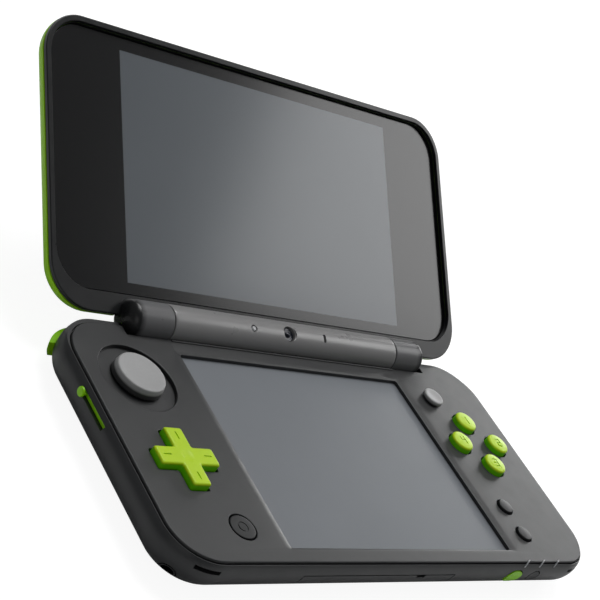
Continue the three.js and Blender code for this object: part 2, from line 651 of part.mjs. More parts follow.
// How far a round wall of a given radius, offset by grow, stands in at a distance above or below its centre
function roundInset(radius, grow, away) {
  return radius - Math.sqrt(Math.max((radius + grow) ** 2 - away ** 2, 0));
}

// How far the side walls stand in at a height: a quarter round below and a flatter curve above it
function wallInset(grow, z) {
  return z < WALL_CURVE_RADIUS ? roundInset(WALL_CURVE_RADIUS, grow, WALL_CURVE_RADIUS - z)
    : roundInset(WALL_TOP_RADIUS, grow, z - WALL_CURVE_RADIUS);
}

// The front wall leans in less towards its top
function frontInset(grow, z) {
  const lean = wallInset(0, Math.max(z, WALL_CURVE_RADIUS));
  return wallInset(grow, z) - lean * (1 - FRONT_FOLLOW_SHARE);
}

function backInset(grow, z) {
  const curve = roundInset(BACK_CURVE_RADIUS, grow, Math.max(BACK_CURVE_RADIUS - z, 0));
  const side = wallInset(grow, z);
  return Math.min(side, curve + side * BACK_FOLLOW_SHARE);
}

// The base body, offset outwards by grow (inwards when negative): a tub with round walls
function baseHull(grow, top) {
  const heights = [];
  for (let step = 0; step <= WALL_CURVE_STEPS; step += 1) {
    const angle = step / WALL_CURVE_STEPS * Math.PI / 2;
    heights.push(WALL_CURVE_RADIUS - (WALL_CURVE_RADIUS + grow) * Math.cos(angle));
  }
  const ledge = grow < 0 ? COVER_BOTTOM : SHELL_TOP;
  for (let step = 1; step <= WALL_TOP_STEPS; step += 1) {
    heights.push(WALL_CURVE_RADIUS + (ledge - WALL_CURVE_RADIUS) * step / WALL_TOP_STEPS);
  }
  const rings = heights.map((z) => {
    const side = wallInset(grow, z);
    const front = frontInset(grow, z);
    const back = backInset(grow, z);
    const halfDepth = HALF_DEPTH - (front + back) / 2;
    const points = roundedPoints(HALF_WIDTH - side, halfDepth, BASE_CORNER_RADIUS - side);
    points.forEach((point) => {
      point.y += (front - back) / 2;
    });
    return { points, z };
  });
  if (top > ledge) {
    rings.push({ points: rings[rings.length - 1].points, z: top });
  }
  return loft(rings);
}

// The outline of the top cover, drawn in by inset
function coverPoints(inset) {
  const points = roundedPoints(HALF_WIDTH - COVER_INSET - inset, COVER_HALF_DEPTH - inset,
    BASE_CORNER_RADIUS - COVER_INSET - inset);
  points.forEach((point) => {
    point.y += COVER_Y;
  });
  return points;
}

// The bar of space that the hinge barrel turns in
function troughBar(radius, halfLength) {
  return barAlongX(-halfLength, halfLength, HINGE_Y, HINGE_Z, radius);
}

function screwPlaces() {
  const places = [];
  for (const side of [-1, 1]) {
    places.push([side * SCREW_X, -HALF_DEPTH + SCREW_FROM_FRONT]);
    places.push([side * SCREW_X, HALF_DEPTH - SCREW_FROM_BACK]);
  }
  return places;
}

function footPlaces() {
  const places = [];
  for (const side of [-1, 1]) {
    places.push([side * (HALF_WIDTH - FOOT_FROM_SIDE), -HALF_DEPTH + FOOT_FROM_END]);
    places.push([side * (HALF_WIDTH - FOOT_FROM_SIDE), HALF_DEPTH - FOOT_FROM_END]);
  }
  return places;
}

// The headphone socket lies across the front-left corner, and its axis runs through the corner's centre
const JACK_ANGLE = THREE.MathUtils.degToRad(JACK_AROUND_CORNER_DEG);
const CORNER_X = HALF_WIDTH - BASE_CORNER_RADIUS;
const CORNER_Y = HALF_DEPTH - BASE_CORNER_RADIUS;

// Lays a shape built along -Y, with its mouth at y = 0, on the headphone socket's axis
function onJackAxis(geometry, fromCorner) {
  geometry.rotateZ(JACK_ANGLE + Math.PI / 2);
  const x = -CORNER_X + fromCorner * Math.cos(JACK_ANGLE);
  const y = -CORNER_Y + fromCorner * Math.sin(JACK_ANGLE);
  geometry.translate(x, y, JACK_Z);
  return geometry;
}

const JACK_MOUTH = BASE_CORNER_RADIUS - wallInset(0, JACK_Z);

// A curved band round one front corner, for a speaker slot
function cornerBand(side) {
  const from = THREE.MathUtils.degToRad(SPEAKER_SLOT_FROM_DEG);
  const to = THREE.MathUtils.degToRad(SPEAKER_SLOT_TO_DEG);
  const outer = BASE_CORNER_RADIUS + OVERRUN;
  const inner = BASE_CORNER_RADIUS - SHELL_WALL - OVERRUN;
  const pairs = [];
  for (let step = 0; step <= CORNER_STEPS; step += 1) {
    const angle = from + (to - from) * step / CORNER_STEPS;
    pairs.push([outer * Math.cos(angle), outer * Math.sin(angle)]);
  }
  for (let step = CORNER_STEPS; step >= 0; step -= 1) {
    const angle = from + (to - from) * step / CORNER_STEPS;
    pairs.push([inner * Math.cos(angle), inner * Math.sin(angle)]);
  }
  const placed = pairs.map(([x, y]) => [side * (CORNER_X - x), y - CORNER_Y]);
  if (side > 0) {
    placed.reverse();
  }
  const half = SPEAKER_SLOT_HEIGHT / 2;
  return outlineSlab(placed, SPEAKER_SLOT_Z - half, SPEAKER_SLOT_Z + half);
}

// The space behind the card door, between the wall's gaps
function doorBlock(gap) {
  return block(DOOR_LEFT - gap, DOOR_RIGHT + gap, -HALF_DEPTH - OVERRUN,
    -HALF_DEPTH + WALL_CURVE_RADIUS, DOOR_LOW - gap, DOOR_TOP + gap);
}

// The space of one shoulder button, with gaps round it when it is cut out of the shell
function shoulderBlock(side, gap, swingGap) {
  const outer = HALF_WIDTH + SHOULDER_PROUD + OVERRUN;
  const inner = SHOULDER_INNER_X - swingGap;
  const back = HALF_DEPTH + SHOULDER_PROUD + OVERRUN;
  const x0 = side < 0 ? -outer : inner;
  const x1 = side < 0 ? -inner : outer;
  return block(x0, x1, SHOULDER_FRONT_Y - gap, back, SHOULDER_LOW - gap, SHOULDER_TOP + gap);
}

function triggerBlock(side, gap) {
  const back = HALF_DEPTH + TRIGGER_PROUD + OVERRUN;
  const x0 = side < 0 ? -TRIGGER_OUTER_X - gap : TRIGGER_INNER_X - gap;
  const x1 = side < 0 ? -TRIGGER_INNER_X + gap : TRIGGER_OUTER_X + gap;
  const front = HALF_DEPTH - WALL_CURVE_RADIUS;
  return block(x0, x1, front, back, TRIGGER_LOW - gap, TRIGGER_TOP + gap);
}

// The stylus head, a rounded bar along Y, grown by gap where it is cut out of the wall
function stylusHead(gap, y0, y1) {
  const geometry = roundedSlab(STYLUS_HEAD_WIDTH / 2 + gap, STYLUS_HEAD_HEIGHT / 2 + gap,
    STYLUS_HEAD_RADIUS + gap, 0, y1 - y0);
  geometry.rotateX(Math.PI / 2);
  geometry.translate(STYLUS_HEAD_SHIFT, y1, STYLUS_HEAD_RISE);
  return geometry;
}

function lightPlaces() {
  return Array.from({ length: LIGHT_COUNT }, (_, i) => LIGHT_FIRST_X + i * LIGHT_PITCH);
}

// Bottom shell

function bottomShell() {
  const outer = baseHull(0, SHELL_TOP);
  const hollow = baseHull(-SHELL_WALL, SHELL_TOP + OVERRUN);
  const troughTop = COVER_BOTTOM - TROUGH_TOP_BELOW_COVER;
  const rearSpace = block(-HALF_WIDTH, HALF_WIDTH, 0, HALF_DEPTH, 0, troughTop);
  const troughWall = common(troughBar(TROUGH_RADIUS + TROUGH_WALL, TROUGH_HALF_LENGTH + TROUGH_WALL),
    common(baseHull(-SHELL_WALL / 2, SHELL_TOP), rearSpace));
  const back = HALF_DEPTH;
  const fairing = barFromSection([
    [back - FAIRING_ROOT, 0],
    [back - FAIRING_FLAT_FRONT, 0],
    [back + FAIRING_LOW_BACK, FAIRING_LOW_BACK],
    [back + FAIRING_REACH, FAIRING_BULGE_Z],
    [back + FAIRING_TOP_BACK, FAIRING_TOP],
    [back - FAIRING_ROOT, FAIRING_TOP],
  ], -BARREL_HALF_LENGTH + FIT_GAP, BARREL_HALF_LENGTH - FIT_GAP);
  const channelEnd = -HALF_DEPTH + STYLUS_LENGTH + CHANNEL_WALL;
  const channel = block(STYLUS_X - CHANNEL_RADIUS, STYLUS_X + CHANNEL_RADIUS, channelEnd - CHANNEL_LENGTH,
    channelEnd, SHELL_WALL / 2, STYLUS_Z);
  const bosses = screwPlaces().map(([x, y]) => post(x, y, SHELL_WALL / 2, BOSS_TOP, BOSS_RADIUS));
  const body = join(cut(outer, hollow), troughWall, fairing, channel, ...bosses);
  const tools = [troughBar(TROUGH_RADIUS, TROUGH_HALF_LENGTH), doorBlock(FIT_GAP)];
  const rabbet = coverPoints(-FIT_GAP);
  tools.push(loft([{ points: rabbet, z: COVER_BOTTOM }, { points: rabbet, z: SHELL_TOP + OVERRUN }]));
  const stylusBore = barAlongY(STYLUS_X, -HALF_DEPTH - OVERRUN, -HALF_DEPTH + STYLUS_LENGTH,
    STYLUS_Z, STYLUS_RADIUS + FIT_GAP);
  const headCut = stylusHead(FIT_GAP, -HALF_DEPTH - OVERRUN, -HALF_DEPTH + STYLUS_HEAD_DEPTH);
  headCut.translate(STYLUS_X, 0, STYLUS_Z);
  tools.push(stylusBore, headCut);
  for (const side of [-1, 1]) {
    tools.push(cornerBand(side));
    tools.push(shoulderBlock(side, FIT_GAP, SHOULDER_SWING_GAP));
    tools.push(triggerBlock(side, FIT_GAP));
  }
  tools.push(block(-HALF_WIDTH - OVERRUN, VOLUME_POCKET_X + OVERRUN, VOLUME_SLOT_FRONT, VOLUME_SLOT_BACK,
    VOLUME_Z - VOLUME_SLOT_HEIGHT / 2, VOLUME_Z + VOLUME_SLOT_HEIGHT / 2));
  tools.push(block(VOLUME_POCKET_X, -HALF_WIDTH + WALL_CURVE_RADIUS,
    VOLUME_SLOT_FRONT - VOLUME_TRAVEL - FIT_GAP, VOLUME_PLATE_BACK + FIT_GAP,
    VOLUME_PLATE_LOW - FIT_GAP, COVER_BOTTOM));
  tools.push(barAlongY(POWER_X, -HALF_DEPTH - OVERRUN, -HALF_DEPTH + WALL_CURVE_RADIUS / 2,
    POWER_Z, POWER_RADIUS + FIT_GAP));
  const chargeHalfX = CHARGE_WIDTH / 2 + CHARGE_WALL + FIT_GAP;
  const chargeHalfZ = CHARGE_HEIGHT / 2 + CHARGE_WALL + FIT_GAP;
  tools.push(block(CHARGE_X - chargeHalfX, CHARGE_X + chargeHalfX, HALF_DEPTH - WALL_CURVE_RADIUS,
    HALF_DEPTH + FAIRING_REACH + OVERRUN, CHARGE_Z - chargeHalfZ, CHARGE_Z + chargeHalfZ));
  tools.push(onJackAxis(barAlongY(0, -SHELL_WALL - OVERRUN, JACK_COLLAR_LENGTH, 0,
    JACK_COLLAR_RADIUS + FIT_GAP), JACK_MOUTH));
  const jackHalfX = JACK_BODY_WIDTH / 2 + FIT_GAP;
  const jackHalfZ = JACK_BODY_HEIGHT / 2 + FIT_GAP;
  tools.push(onJackAxis(block(-jackHalfX, jackHalfX, JACK_COLLAR_LENGTH - FIT_GAP, JACK_BODY_LENGTH + FIT_GAP,
    -jackHalfZ, jackHalfZ), JACK_MOUTH));
  for (const x of lightPlaces()) {
    const half = LIGHT_WIDTH / 2 + LIGHT_NOTCH;
    tools.push(block(x - half, x + half, -HALF_DEPTH - OVERRUN, COVER_FRONT,
      SHELL_TOP - LIGHT_DROP - LIGHT_NOTCH, SHELL_TOP + OVERRUN));
    tools.push(block(x - half, x + half, COVER_FRONT - LIGHT_NOTCH, LIGHT_BAR_FRONT,
      LIGHT_BAR_LOW - LIGHT_NOTCH, COVER_BOTTOM + OVERRUN));
  }
  for (const [x, y] of screwPlaces()) {
    tools.push(post(x, y, -OVERRUN, SCREW_HEAD_HEIGHT + SCREW_SINK, SCREW_HEAD_RADIUS + FIT_GAP));
    tools.push(post(x, y, 0, BOSS_TOP + OVERRUN, SCREW_SHANK_RADIUS + FIT_GAP));
  }
  for (const [x, y] of footPlaces()) {
    tools.push(post(x, y, -OVERRUN, FOOT_HEIGHT, FOOT_RADIUS + FIT_GAP));
  }
  return cut(body, ...tools);
}

// Top cover

// A cross outline with square ends, as [x, y] pairs
function crossPairs(halfLength, halfWidth) {
  return [
    [halfLength, -halfWidth], [halfLength, halfWidth], [halfWidth, halfWidth], [halfWidth, halfLength],
    [-halfWidth, halfLength], [-halfWidth, halfWidth], [-halfLength, halfWidth],
    [-halfLength, -halfWidth], [-halfWidth, -halfWidth], [-halfWidth, -halfLength],
    [halfWidth, -halfLength], [halfWidth, -halfWidth],
  ];
}

function faceButtonPlaces() {
  return [
    [FACE_X, FACE_Y + FACE_SPREAD],
    [FACE_X + FACE_SPREAD, FACE_Y],
    [FACE_X, FACE_Y - FACE_SPREAD],
    [FACE_X - FACE_SPREAD, FACE_Y],
  ];
}

function topCover() {
  const plate = loft([
    { points: coverPoints(0), z: COVER_BOTTOM },
    { points: coverPoints(0), z: BASE_HEIGHT - COVER_EDGE_CHAMFER },
    { points: coverPoints(COVER_EDGE_CHAMFER), z: BASE_HEIGHT },
  ]);
  const padBoss = post(PAD_X, PAD_Y, PAD_FLOOR_BOTTOM, COVER_BOTTOM + COVER_THICKNESS / 2,
    PAD_WELL_RADIUS + PAD_FLOOR_MARGIN, PAD_WELL_RADIUS + PAD_FLOOR_MARGIN, LARGE_ROUND_STEPS);
  const lipBack = HINGE_Y - Math.sqrt(TROUGH_RADIUS ** 2 - HINGE_ABOVE_COVER ** 2);
  const lip = block(-BARREL_HALF_LENGTH, BARREL_HALF_LENGTH, lipBack - COVER_LIP_WIDTH, lipBack,
    BASE_HEIGHT - COVER_THICKNESS / 2, BASE_HEIGHT + COVER_LIP_HEIGHT);
  const body = join(plate, padBoss, lip);
  const low = PAD_FLOOR_BOTTOM - OVERRUN;
  const high = BASE_HEIGHT + OVERRUN;
  const tools = [
    troughBar(TROUGH_RADIUS, TROUGH_HALF_LENGTH),
    post(PAD_X, PAD_Y, PAD_FLOOR_TOP, high, PAD_WELL_RADIUS, PAD_WELL_RADIUS, LARGE_ROUND_STEPS),
    post(PAD_X, PAD_Y, low, high, PAD_HOLE_RADIUS),
    post(HOME_X, HOME_Y, low, high, HOME_RADIUS + BUTTON_GAP),
    post(MENU_X, MENU_UPPER_Y, low, high, MENU_RADIUS + BUTTON_GAP),
    post(MENU_X, MENU_LOWER_Y, low, high, MENU_RADIUS + BUTTON_GAP),
    post(NUB_X, NUB_Y, low, high, NUB_HOLE_RADIUS),
  ];
  for (const [x, y] of faceButtonPlaces()) {
    tools.push(post(x, y, low, high, FACE_RADIUS + BUTTON_GAP));
  }
  const crossHole = crossPairs(CROSS_HALF_LENGTH + CROSS_GAP, CROSS_HALF_WIDTH + CROSS_GAP);
  const cross = outlineSlab(crossHole, low, high);
  cross.translate(CROSS_X, CROSS_Y, 0);
  tools.push(cross);
  const corner = WINDOW_CORNER_RADIUS;
  const rise = WINDOW_BEVEL_DEPTH + OVERRUN;
  const sideRun = WINDOW_BEVEL_SIDE * rise / WINDOW_BEVEL_DEPTH;
  const endRun = WINDOW_BEVEL_END * rise / WINDOW_BEVEL_DEPTH;
  const window = roundedPoints(WINDOW_HALF_WIDTH, WINDOW_HALF_HEIGHT, corner);
  const mouth = roundedPoints(WINDOW_HALF_WIDTH + sideRun, WINDOW_HALF_HEIGHT + endRun, corner);
  tools.push(loft([
    { points: window, z: low },
    { points: window, z: BASE_HEIGHT - WINDOW_BEVEL_DEPTH },
    { points: mouth, z: BASE_HEIGHT + OVERRUN },
  ], LOWER_DISPLAY_Y));
  for (const x of lightPlaces()) {
    const half = LIGHT_WIDTH / 2 + LIGHT_NOTCH;
    tools.push(block(x - half, x + half, -HALF_DEPTH, COVER_FRONT + LIGHT_RUN + LIGHT_NOTCH, low, high));
  }
  return cut(body, ...tools);
}

// Lower display

function touchPanel() {
  return roundedSlab(WINDOW_HALF_WIDTH + TOUCH_PANEL_MARGIN, WINDOW_HALF_HEIGHT + TOUCH_PANEL_MARGIN,
    WINDOW_CORNER_RADIUS, COVER_BOTTOM - TOUCH_PANEL_THICKNESS, COVER_BOTTOM, 0, LOWER_DISPLAY_Y,
    PLAIN_CORNER_STEPS);
}

function lowerLcd() {
  const top = COVER_BOTTOM - TOUCH_PANEL_THICKNESS - FIT_GAP;
  return roundedSlab(WINDOW_HALF_WIDTH + LOWER_LCD_MARGIN, WINDOW_HALF_HEIGHT + LOWER_LCD_MARGIN,
    WINDOW_CORNER_RADIUS, top - LOWER_LCD_THICKNESS, top, 0, LOWER_DISPLAY_Y,
    PLAIN_CORNER_STEPS);
}

// Board, battery and sockets

function mainBoard() {
  const front = -HALF_DEPTH + BOARD_FROM_FRONT;
  const wingFront = -HALF_DEPTH + BOARD_WING_FROM_FRONT;
  const back = HALF_DEPTH - BOARD_FROM_BACK;
  const centreLeft = -HALF_WIDTH + BOARD_CENTRE_FROM_SIDE;
  const centreRight = STYLUS_X - BOARD_BESIDE_STYLUS;
  const wingStart = STYLUS_X + BOARD_WING_BESIDE_STYLUS;
  const wing = HALF_WIDTH - BOARD_FROM_SIDE;
  const stylusEnd = -HALF_DEPTH + STYLUS_LENGTH + BOARD_BEHIND_STYLUS;
  const speakerEdge = SPEAKER_BACK + BOARD_BEHIND_SPEAKER;
  const speakerSide = SPEAKER_X - SPEAKER_WIDTH / 2 - BOARD_BESIDE_SPEAKER;
  return outlineSlab([
    [centreLeft, front],
    [centreRight, front],
    [centreRight, stylusEnd],
    [wingStart, stylusEnd],
    [wingStart, wingFront],
    [speakerSide, wingFront],
    [speakerSide, speakerEdge],
    [wing, speakerEdge],
    [wing, back - BOARD_CORNER_CUT],
    [wing - BOARD_CORNER_CUT, back],
    [centreLeft, back],
    [centreLeft, PAD_Y - PAD_BASE_HALF_LENGTH - BOARD_BEFORE_PAD],
    [-wing, PAD_Y - PAD_BASE_HALF_LENGTH - BOARD_BEFORE_PAD],
    [-wing, speakerEdge],
    [-speakerSide, speakerEdge],
    [-speakerSide, wingFront],
    [centreLeft, wingFront],
  ], BOARD_BOTTOM, BOARD_TOP);
}

function battery() {
  const low = SHELL_WALL + FIT_GAP;
  return roundedSlab((BATTERY_RIGHT - BATTERY_LEFT) / 2, (BATTERY_BACK - BATTERY_FRONT) / 2, FIT_GAP, low,
    low + BATTERY_HEIGHT, (BATTERY_LEFT + BATTERY_RIGHT) / 2, (BATTERY_FRONT + BATTERY_BACK) / 2,
    PLAIN_CORNER_STEPS);
}

// A box with a slot in its front end
function socket(slotWidth, slotHeight, slotDepth, wall, length) {
  const halfX = slotWidth / 2;
  const halfZ = slotHeight / 2;
  const body = block(-halfX - wall, halfX + wall, 0, length, -halfZ - wall, halfZ + wall);
  return cut(body, block(-halfX, halfX, -OVERRUN, slotDepth, -halfZ, halfZ));
}

function gameCardSocket() {
  return socket(CARD_SLOT_WIDTH, CARD_SLOT_HEIGHT, CARD_SLOT_DEPTH, CARD_SOCKET_WALL,
    CARD_SLOT_DEPTH + CARD_SOCKET_WALL);
}

function memoryCardSocket() {
  return socket(MEMORY_SLOT_WIDTH, MEMORY_SLOT_HEIGHT, MEMORY_SLOT_DEPTH, MEMORY_SOCKET_WALL,
    MEMORY_SLOT_DEPTH + MEMORY_SOCKET_WALL);
}

function chargeSocket() {
  const geometry = socket(CHARGE_WIDTH, CHARGE_HEIGHT, CHARGE_DEPTH, CHARGE_WALL, CHARGE_LENGTH);
  const halfX = CHARGE_WIDTH * CHARGE_TONGUE_WIDTH_SHARE;
  const halfZ = CHARGE_HEIGHT * CHARGE_TONGUE_HEIGHT_SHARE;
  const tongue = block(-halfX, halfX, CHARGE_WALL, CHARGE_LENGTH, -halfZ, halfZ);
  const joined = join(geometry, tongue);
  joined.rotateZ(Math.PI);
  return joined;
}

// Headphone socket across the corner, its mouth flush with the curved wall
function headphoneSocket() {
  const body = block(-JACK_BODY_WIDTH / 2, JACK_BODY_WIDTH / 2, JACK_COLLAR_LENGTH, JACK_BODY_LENGTH,
    -JACK_BODY_HEIGHT / 2, JACK_BODY_HEIGHT / 2);
  const collar = barAlongY(0, -SHELL_WALL, JACK_COLLAR_LENGTH + OVERRUN, 0, JACK_COLLAR_RADIUS);
  const bore = barAlongY(0, -SHELL_WALL - OVERRUN, JACK_BORE_DEPTH, 0, JACK_BORE_RADIUS);
  return common(onJackAxis(cut(join(body, collar), bore), JACK_MOUTH), baseHull(0, SHELL_TOP));
}

// Front card door: a piece of the curved wall between its gaps, with a nail notch in its top edge
function cardDoor() {
  const skin = cut(baseHull(0, SHELL_TOP), baseHull(-SHELL_WALL, SHELL_TOP + OVERRUN));
  const notchX = DOOR_RIGHT - DOOR_NOTCH_FROM_END;
  const notch = block(notchX - DOOR_NOTCH_WIDTH / 2, notchX + DOOR_NOTCH_WIDTH / 2,
    -HALF_DEPTH - OVERRUN, -HALF_DEPTH + SHELL_WALL / 2, DOOR_TOP - DOOR_NOTCH_HEIGHT, DOOR_TOP + OVERRUN);
  return cut(common(skin, doorBlock(0)), notch);
}

// Speakers

function speaker() {
  const narrowSide = Math.min(SPEAKER_WIDTH, SPEAKER_DEPTH);
  const body = roundedSlab(SPEAKER_WIDTH / 2, SPEAKER_DEPTH / 2, narrowSide * SPEAKER_CORNER_SHARE, 0,
    SPEAKER_HEIGHT);
  const coneRadius = narrowSide * SPEAKER_CONE_SHARE;
  const cone = post(0, 0, SPEAKER_HEIGHT - SPEAKER_CONE_DEPTH, SPEAKER_HEIGHT + OVERRUN,
    coneRadius / 2, coneRadius);
  return cut(body, cone);
}

// Circle pad: base with rails, carrier that slides along X, slide that slides along Y, and cap

function circlePadBase() {
  const low = PAD_BASE_TOP - PAD_BASE_THICKNESS;
  const plate = block(-PAD_BASE_HALF_WIDTH, PAD_BASE_HALF_WIDTH, -PAD_BASE_HALF_LENGTH, PAD_BASE_HALF_LENGTH,
    low, PAD_BASE_TOP);
  const railStart = PAD_CARRIER_HALF_LENGTH + FIT_GAP;
  const rails = [-1, 1].map((side) => {
    const near = side * railStart;
    const far = side * (railStart + PAD_RAIL_WIDTH);
    return block(-PAD_BASE_HALF_WIDTH, PAD_BASE_HALF_WIDTH, Math.min(near, far), Math.max(near, far),
      low, PAD_CARRIER_TOP);
  });
  return join(plate, ...rails);
}

function circlePadCarrier() {
  const plate = block(-PAD_CARRIER_HALF_WIDTH, PAD_CARRIER_HALF_WIDTH, -PAD_CARRIER_HALF_LENGTH,
    PAD_CARRIER_HALF_LENGTH, PAD_CARRIER_BOTTOM, PAD_CARRIER_TOP);
  const halfX = PAD_RIB_WIDTH / 2 + FIT_GAP;
  const halfY = PAD_RIB_LENGTH / 2 + PAD_TRAVEL + FIT_GAP / 2;
  return cut(plate, block(-halfX, halfX, -halfY, halfY, PAD_CARRIER_BOTTOM - OVERRUN,
    PAD_CARRIER_TOP + OVERRUN));
}

function circlePadSlide() {
  const plate = post(0, 0, PAD_PLATE_BOTTOM, PAD_PLATE_TOP, PAD_PLATE_RADIUS, PAD_PLATE_RADIUS,
    LARGE_ROUND_STEPS);
  const rib = block(-PAD_RIB_WIDTH / 2, PAD_RIB_WIDTH / 2, -PAD_RIB_LENGTH / 2, PAD_RIB_LENGTH / 2,
    PAD_PLATE_BOTTOM - PAD_RIB_HEIGHT, PAD_PLATE_BOTTOM + PAD_PLATE_THICKNESS / 2);
  const neck = post(0, 0, PAD_PLATE_TOP - PAD_PLATE_THICKNESS / 2, PAD_FLOOR_TOP, PAD_NECK_RADIUS);
  const stemTop = PAD_CAP_BOTTOM + PAD_STEM_IN_CAP;
  const stem = post(0, 0, PAD_FLOOR_TOP - PAD_PLATE_THICKNESS, stemTop, PAD_STEM_RADIUS);
  return join(plate, rib, neck, stem);
}

function circlePadCap() {
  const top = BASE_HEIGHT + PAD_CAP_TOP_ABOVE_COVER;
  const edge = PAD_CAP_EDGE;
  const body = turned([
    [0, PAD_CAP_BOTTOM],
    [PAD_CAP_LOW_RADIUS - edge, PAD_CAP_BOTTOM],
    [PAD_CAP_LOW_RADIUS, PAD_CAP_BOTTOM + edge],
    [PAD_CAP_TOP_RADIUS + edge * PAD_CAP_EDGE_SHARES[0], top - edge],
    [PAD_CAP_TOP_RADIUS - edge * PAD_CAP_EDGE_SHARES[1], top],
    [PAD_CAP_TOP_RADIUS - edge, top],
    [PAD_CAP_TOP_RADIUS * PAD_DISH_RADIUS_SHARES[0], top - PAD_CAP_DISH_DEPTH * PAD_DISH_DEPTH_SHARE],
    [PAD_CAP_TOP_RADIUS * PAD_DISH_RADIUS_SHARES[1], top - PAD_CAP_DISH_DEPTH],
    [0, top - PAD_CAP_DISH_DEPTH],
  ], LARGE_ROUND_STEPS);
  const boreTop = PAD_CAP_BOTTOM + PAD_STEM_IN_CAP;
  const bore = post(0, 0, PAD_CAP_BOTTOM - OVERRUN, boreTop, PAD_STEM_RADIUS + FIT_GAP);
  return cut(body, bore);
}

// Cross pad on its ring, in a frame whose origin is on the pad's axis at the cover's level

function crossPad() {
  const edge = CROSS_EDGE;
  const flangeTop = CROSS_FLANGE_TOP;
  const top = BASE_HEIGHT + CROSS_ABOVE_COVER;
  const full = crossPairs(CROSS_HALF_LENGTH, CROSS_HALF_WIDTH);
  const narrowed = crossPairs(CROSS_HALF_LENGTH - edge, CROSS_HALF_WIDTH - edge);
  const toPoints = (pairs) => pairs.map(([x, y]) => new THREE.Vector2(x, y));
  const body = loft([
    { points: toPoints(full), z: flangeTop - CROSS_FLANGE_THICKNESS / 2 },
    { points: toPoints(full), z: top - edge },
    { points: toPoints(narrowed), z: top },
  ]);
  const flangeLow = flangeTop - CROSS_FLANGE_THICKNESS;
  const flange = outlineSlab(crossPairs(CROSS_HALF_LENGTH + CROSS_FLANGE_OUT,
    CROSS_HALF_WIDTH + CROSS_FLANGE_OUT), flangeLow, flangeTop);
  const stem = post(0, 0, SHEET_TOP + FIT_GAP, flangeTop, CROSS_STEM_RADIUS);
  return join(body, flange, stem);
}

function crossPadRing() {
  const low = SHEET_TOP + FIT_GAP / 2;
  return cut(post(0, 0, low, low + CROSS_RING_HEIGHT, CROSS_RING_RADIUS),
    post(0, 0, low - OVERRUN, low + CROSS_RING_HEIGHT + OVERRUN, CROSS_RING_BORE));
}

// Stick nub: gimbal ring, post and rubber cap

function nubRing() {
  const low = BOARD_TOP + FIT_GAP;
  return cut(post(0, 0, low, low + NUB_RING_HEIGHT, NUB_RING_RADIUS),
    post(0, 0, low - OVERRUN, low + NUB_RING_HEIGHT + OVERRUN, NUB_RING_BORE));
}

function nubPost() {
  return post(0, 0, BOARD_TOP + FIT_GAP, BASE_HEIGHT + FIT_GAP + NUB_POST_IN_CAP, NUB_POST_RADIUS);
}

function nubCap() {
  const low = BASE_HEIGHT + FIT_GAP;
  const top = BASE_HEIGHT + NUB_ABOVE_COVER;
  const edge = NUB_RADIUS - NUB_TOP_RADIUS;
  return cut(turned([
    [0, low],
    [NUB_RADIUS, low],
    [NUB_RADIUS, top - edge],
    [NUB_TOP_RADIUS, top],
    [NUB_TOP_RADIUS / 2, top - NUB_DISH],
    [0, top - NUB_DISH],
  ]), post(0, 0, low - OVERRUN, low + NUB_POST_IN_CAP, NUB_POST_RADIUS + FIT_GAP));
}

// Push buttons: a round cap on a wider flange that the cover holds in

function pushButton(radius, aboveCover) {
  const top = BASE_HEIGHT + aboveCover;
  const low = FLANGE_TOP - BUTTON_FLANGE_THICKNESS;
  return turned([
    [0, low],
    [radius + BUTTON_FLANGE, low],
    [radius + BUTTON_FLANGE, FLANGE_TOP],
    [radius, FLANGE_TOP],
    [radius, top - BUTTON_EDGE],
    [radius - BUTTON_EDGE, top],
    [0, top],
  ], BUTTON_STEPS);
}

// Strokes of the digits 1 to 4, as [x0, y0, x1, y1] shares of the digit's half width and half height
const DIGIT_STROKE_SHARES = {
  1: [[0, -1, 0, 1]],
  2: [[-1, 1, 1, 1], [1, 0, 1, 1], [-1, 0, 1, 0], [-1, -1, -1, 0], [-1, -1, 1, -1]],
  3: [[-1, 1, 1, 1], [1, -1, 1, 1], [-1, 0, 1, 0], [-1, -1, 1, -1]],
  4: [[-1, 0, -1, 1], [-1, 0, 1, 0], [1, -1, 1, 1]],
};

function faceButton(digit) {
  const top = BASE_HEIGHT + FACE_ABOVE_COVER;
  const half = DIGIT_STROKE / 2;
  const halfX = DIGIT_WIDTH / 2;
  const halfY = DIGIT_HEIGHT / 2;
  const strokes = DIGIT_STROKE_SHARES[digit].map(([x0, y0, x1, y1]) => block(x0 * halfX - half,
    x1 * halfX + half, y0 * halfY - half, y1 * halfY + half, top - DIGIT_DEPTH, top + OVERRUN));
  return cut(pushButton(FACE_RADIUS, FACE_ABOVE_COVER), join(...strokes));
}

// Rubber dome sheets

function dome(x, y) {
  return post(x, y, BOARD_TOP + SHEET_THICKNESS / 2, SHEET_TOP + DOME_HEIGHT, DOME_RADIUS, DOME_RADIUS / 2);
}

function rightDomeSheet() {
  const low = BOARD_TOP;
  const faceSheet = roundedSlab(FACE_SHEET_HALF, FACE_SHEET_HALF, SHEET_RADIUS, low, SHEET_TOP,
    FACE_X, FACE_Y, PLAIN_CORNER_STEPS);
  const menuTop = FACE_Y - FACE_SPREAD;
  const menuLow = MENU_LOWER_Y - MENU_RADIUS;
  const menuSheet = roundedSlab(MENU_RADIUS + BUTTON_FLANGE, (menuTop - menuLow) / 2, SHEET_RADIUS, low,
    SHEET_TOP, MENU_X, (menuTop + menuLow) / 2, PLAIN_CORNER_STEPS);
  const places = [...faceButtonPlaces(), [MENU_X, MENU_UPPER_Y], [MENU_X, MENU_LOWER_Y]];
  return join(faceSheet, menuSheet, ...places.map(([x, y]) => dome(x, y)));
}

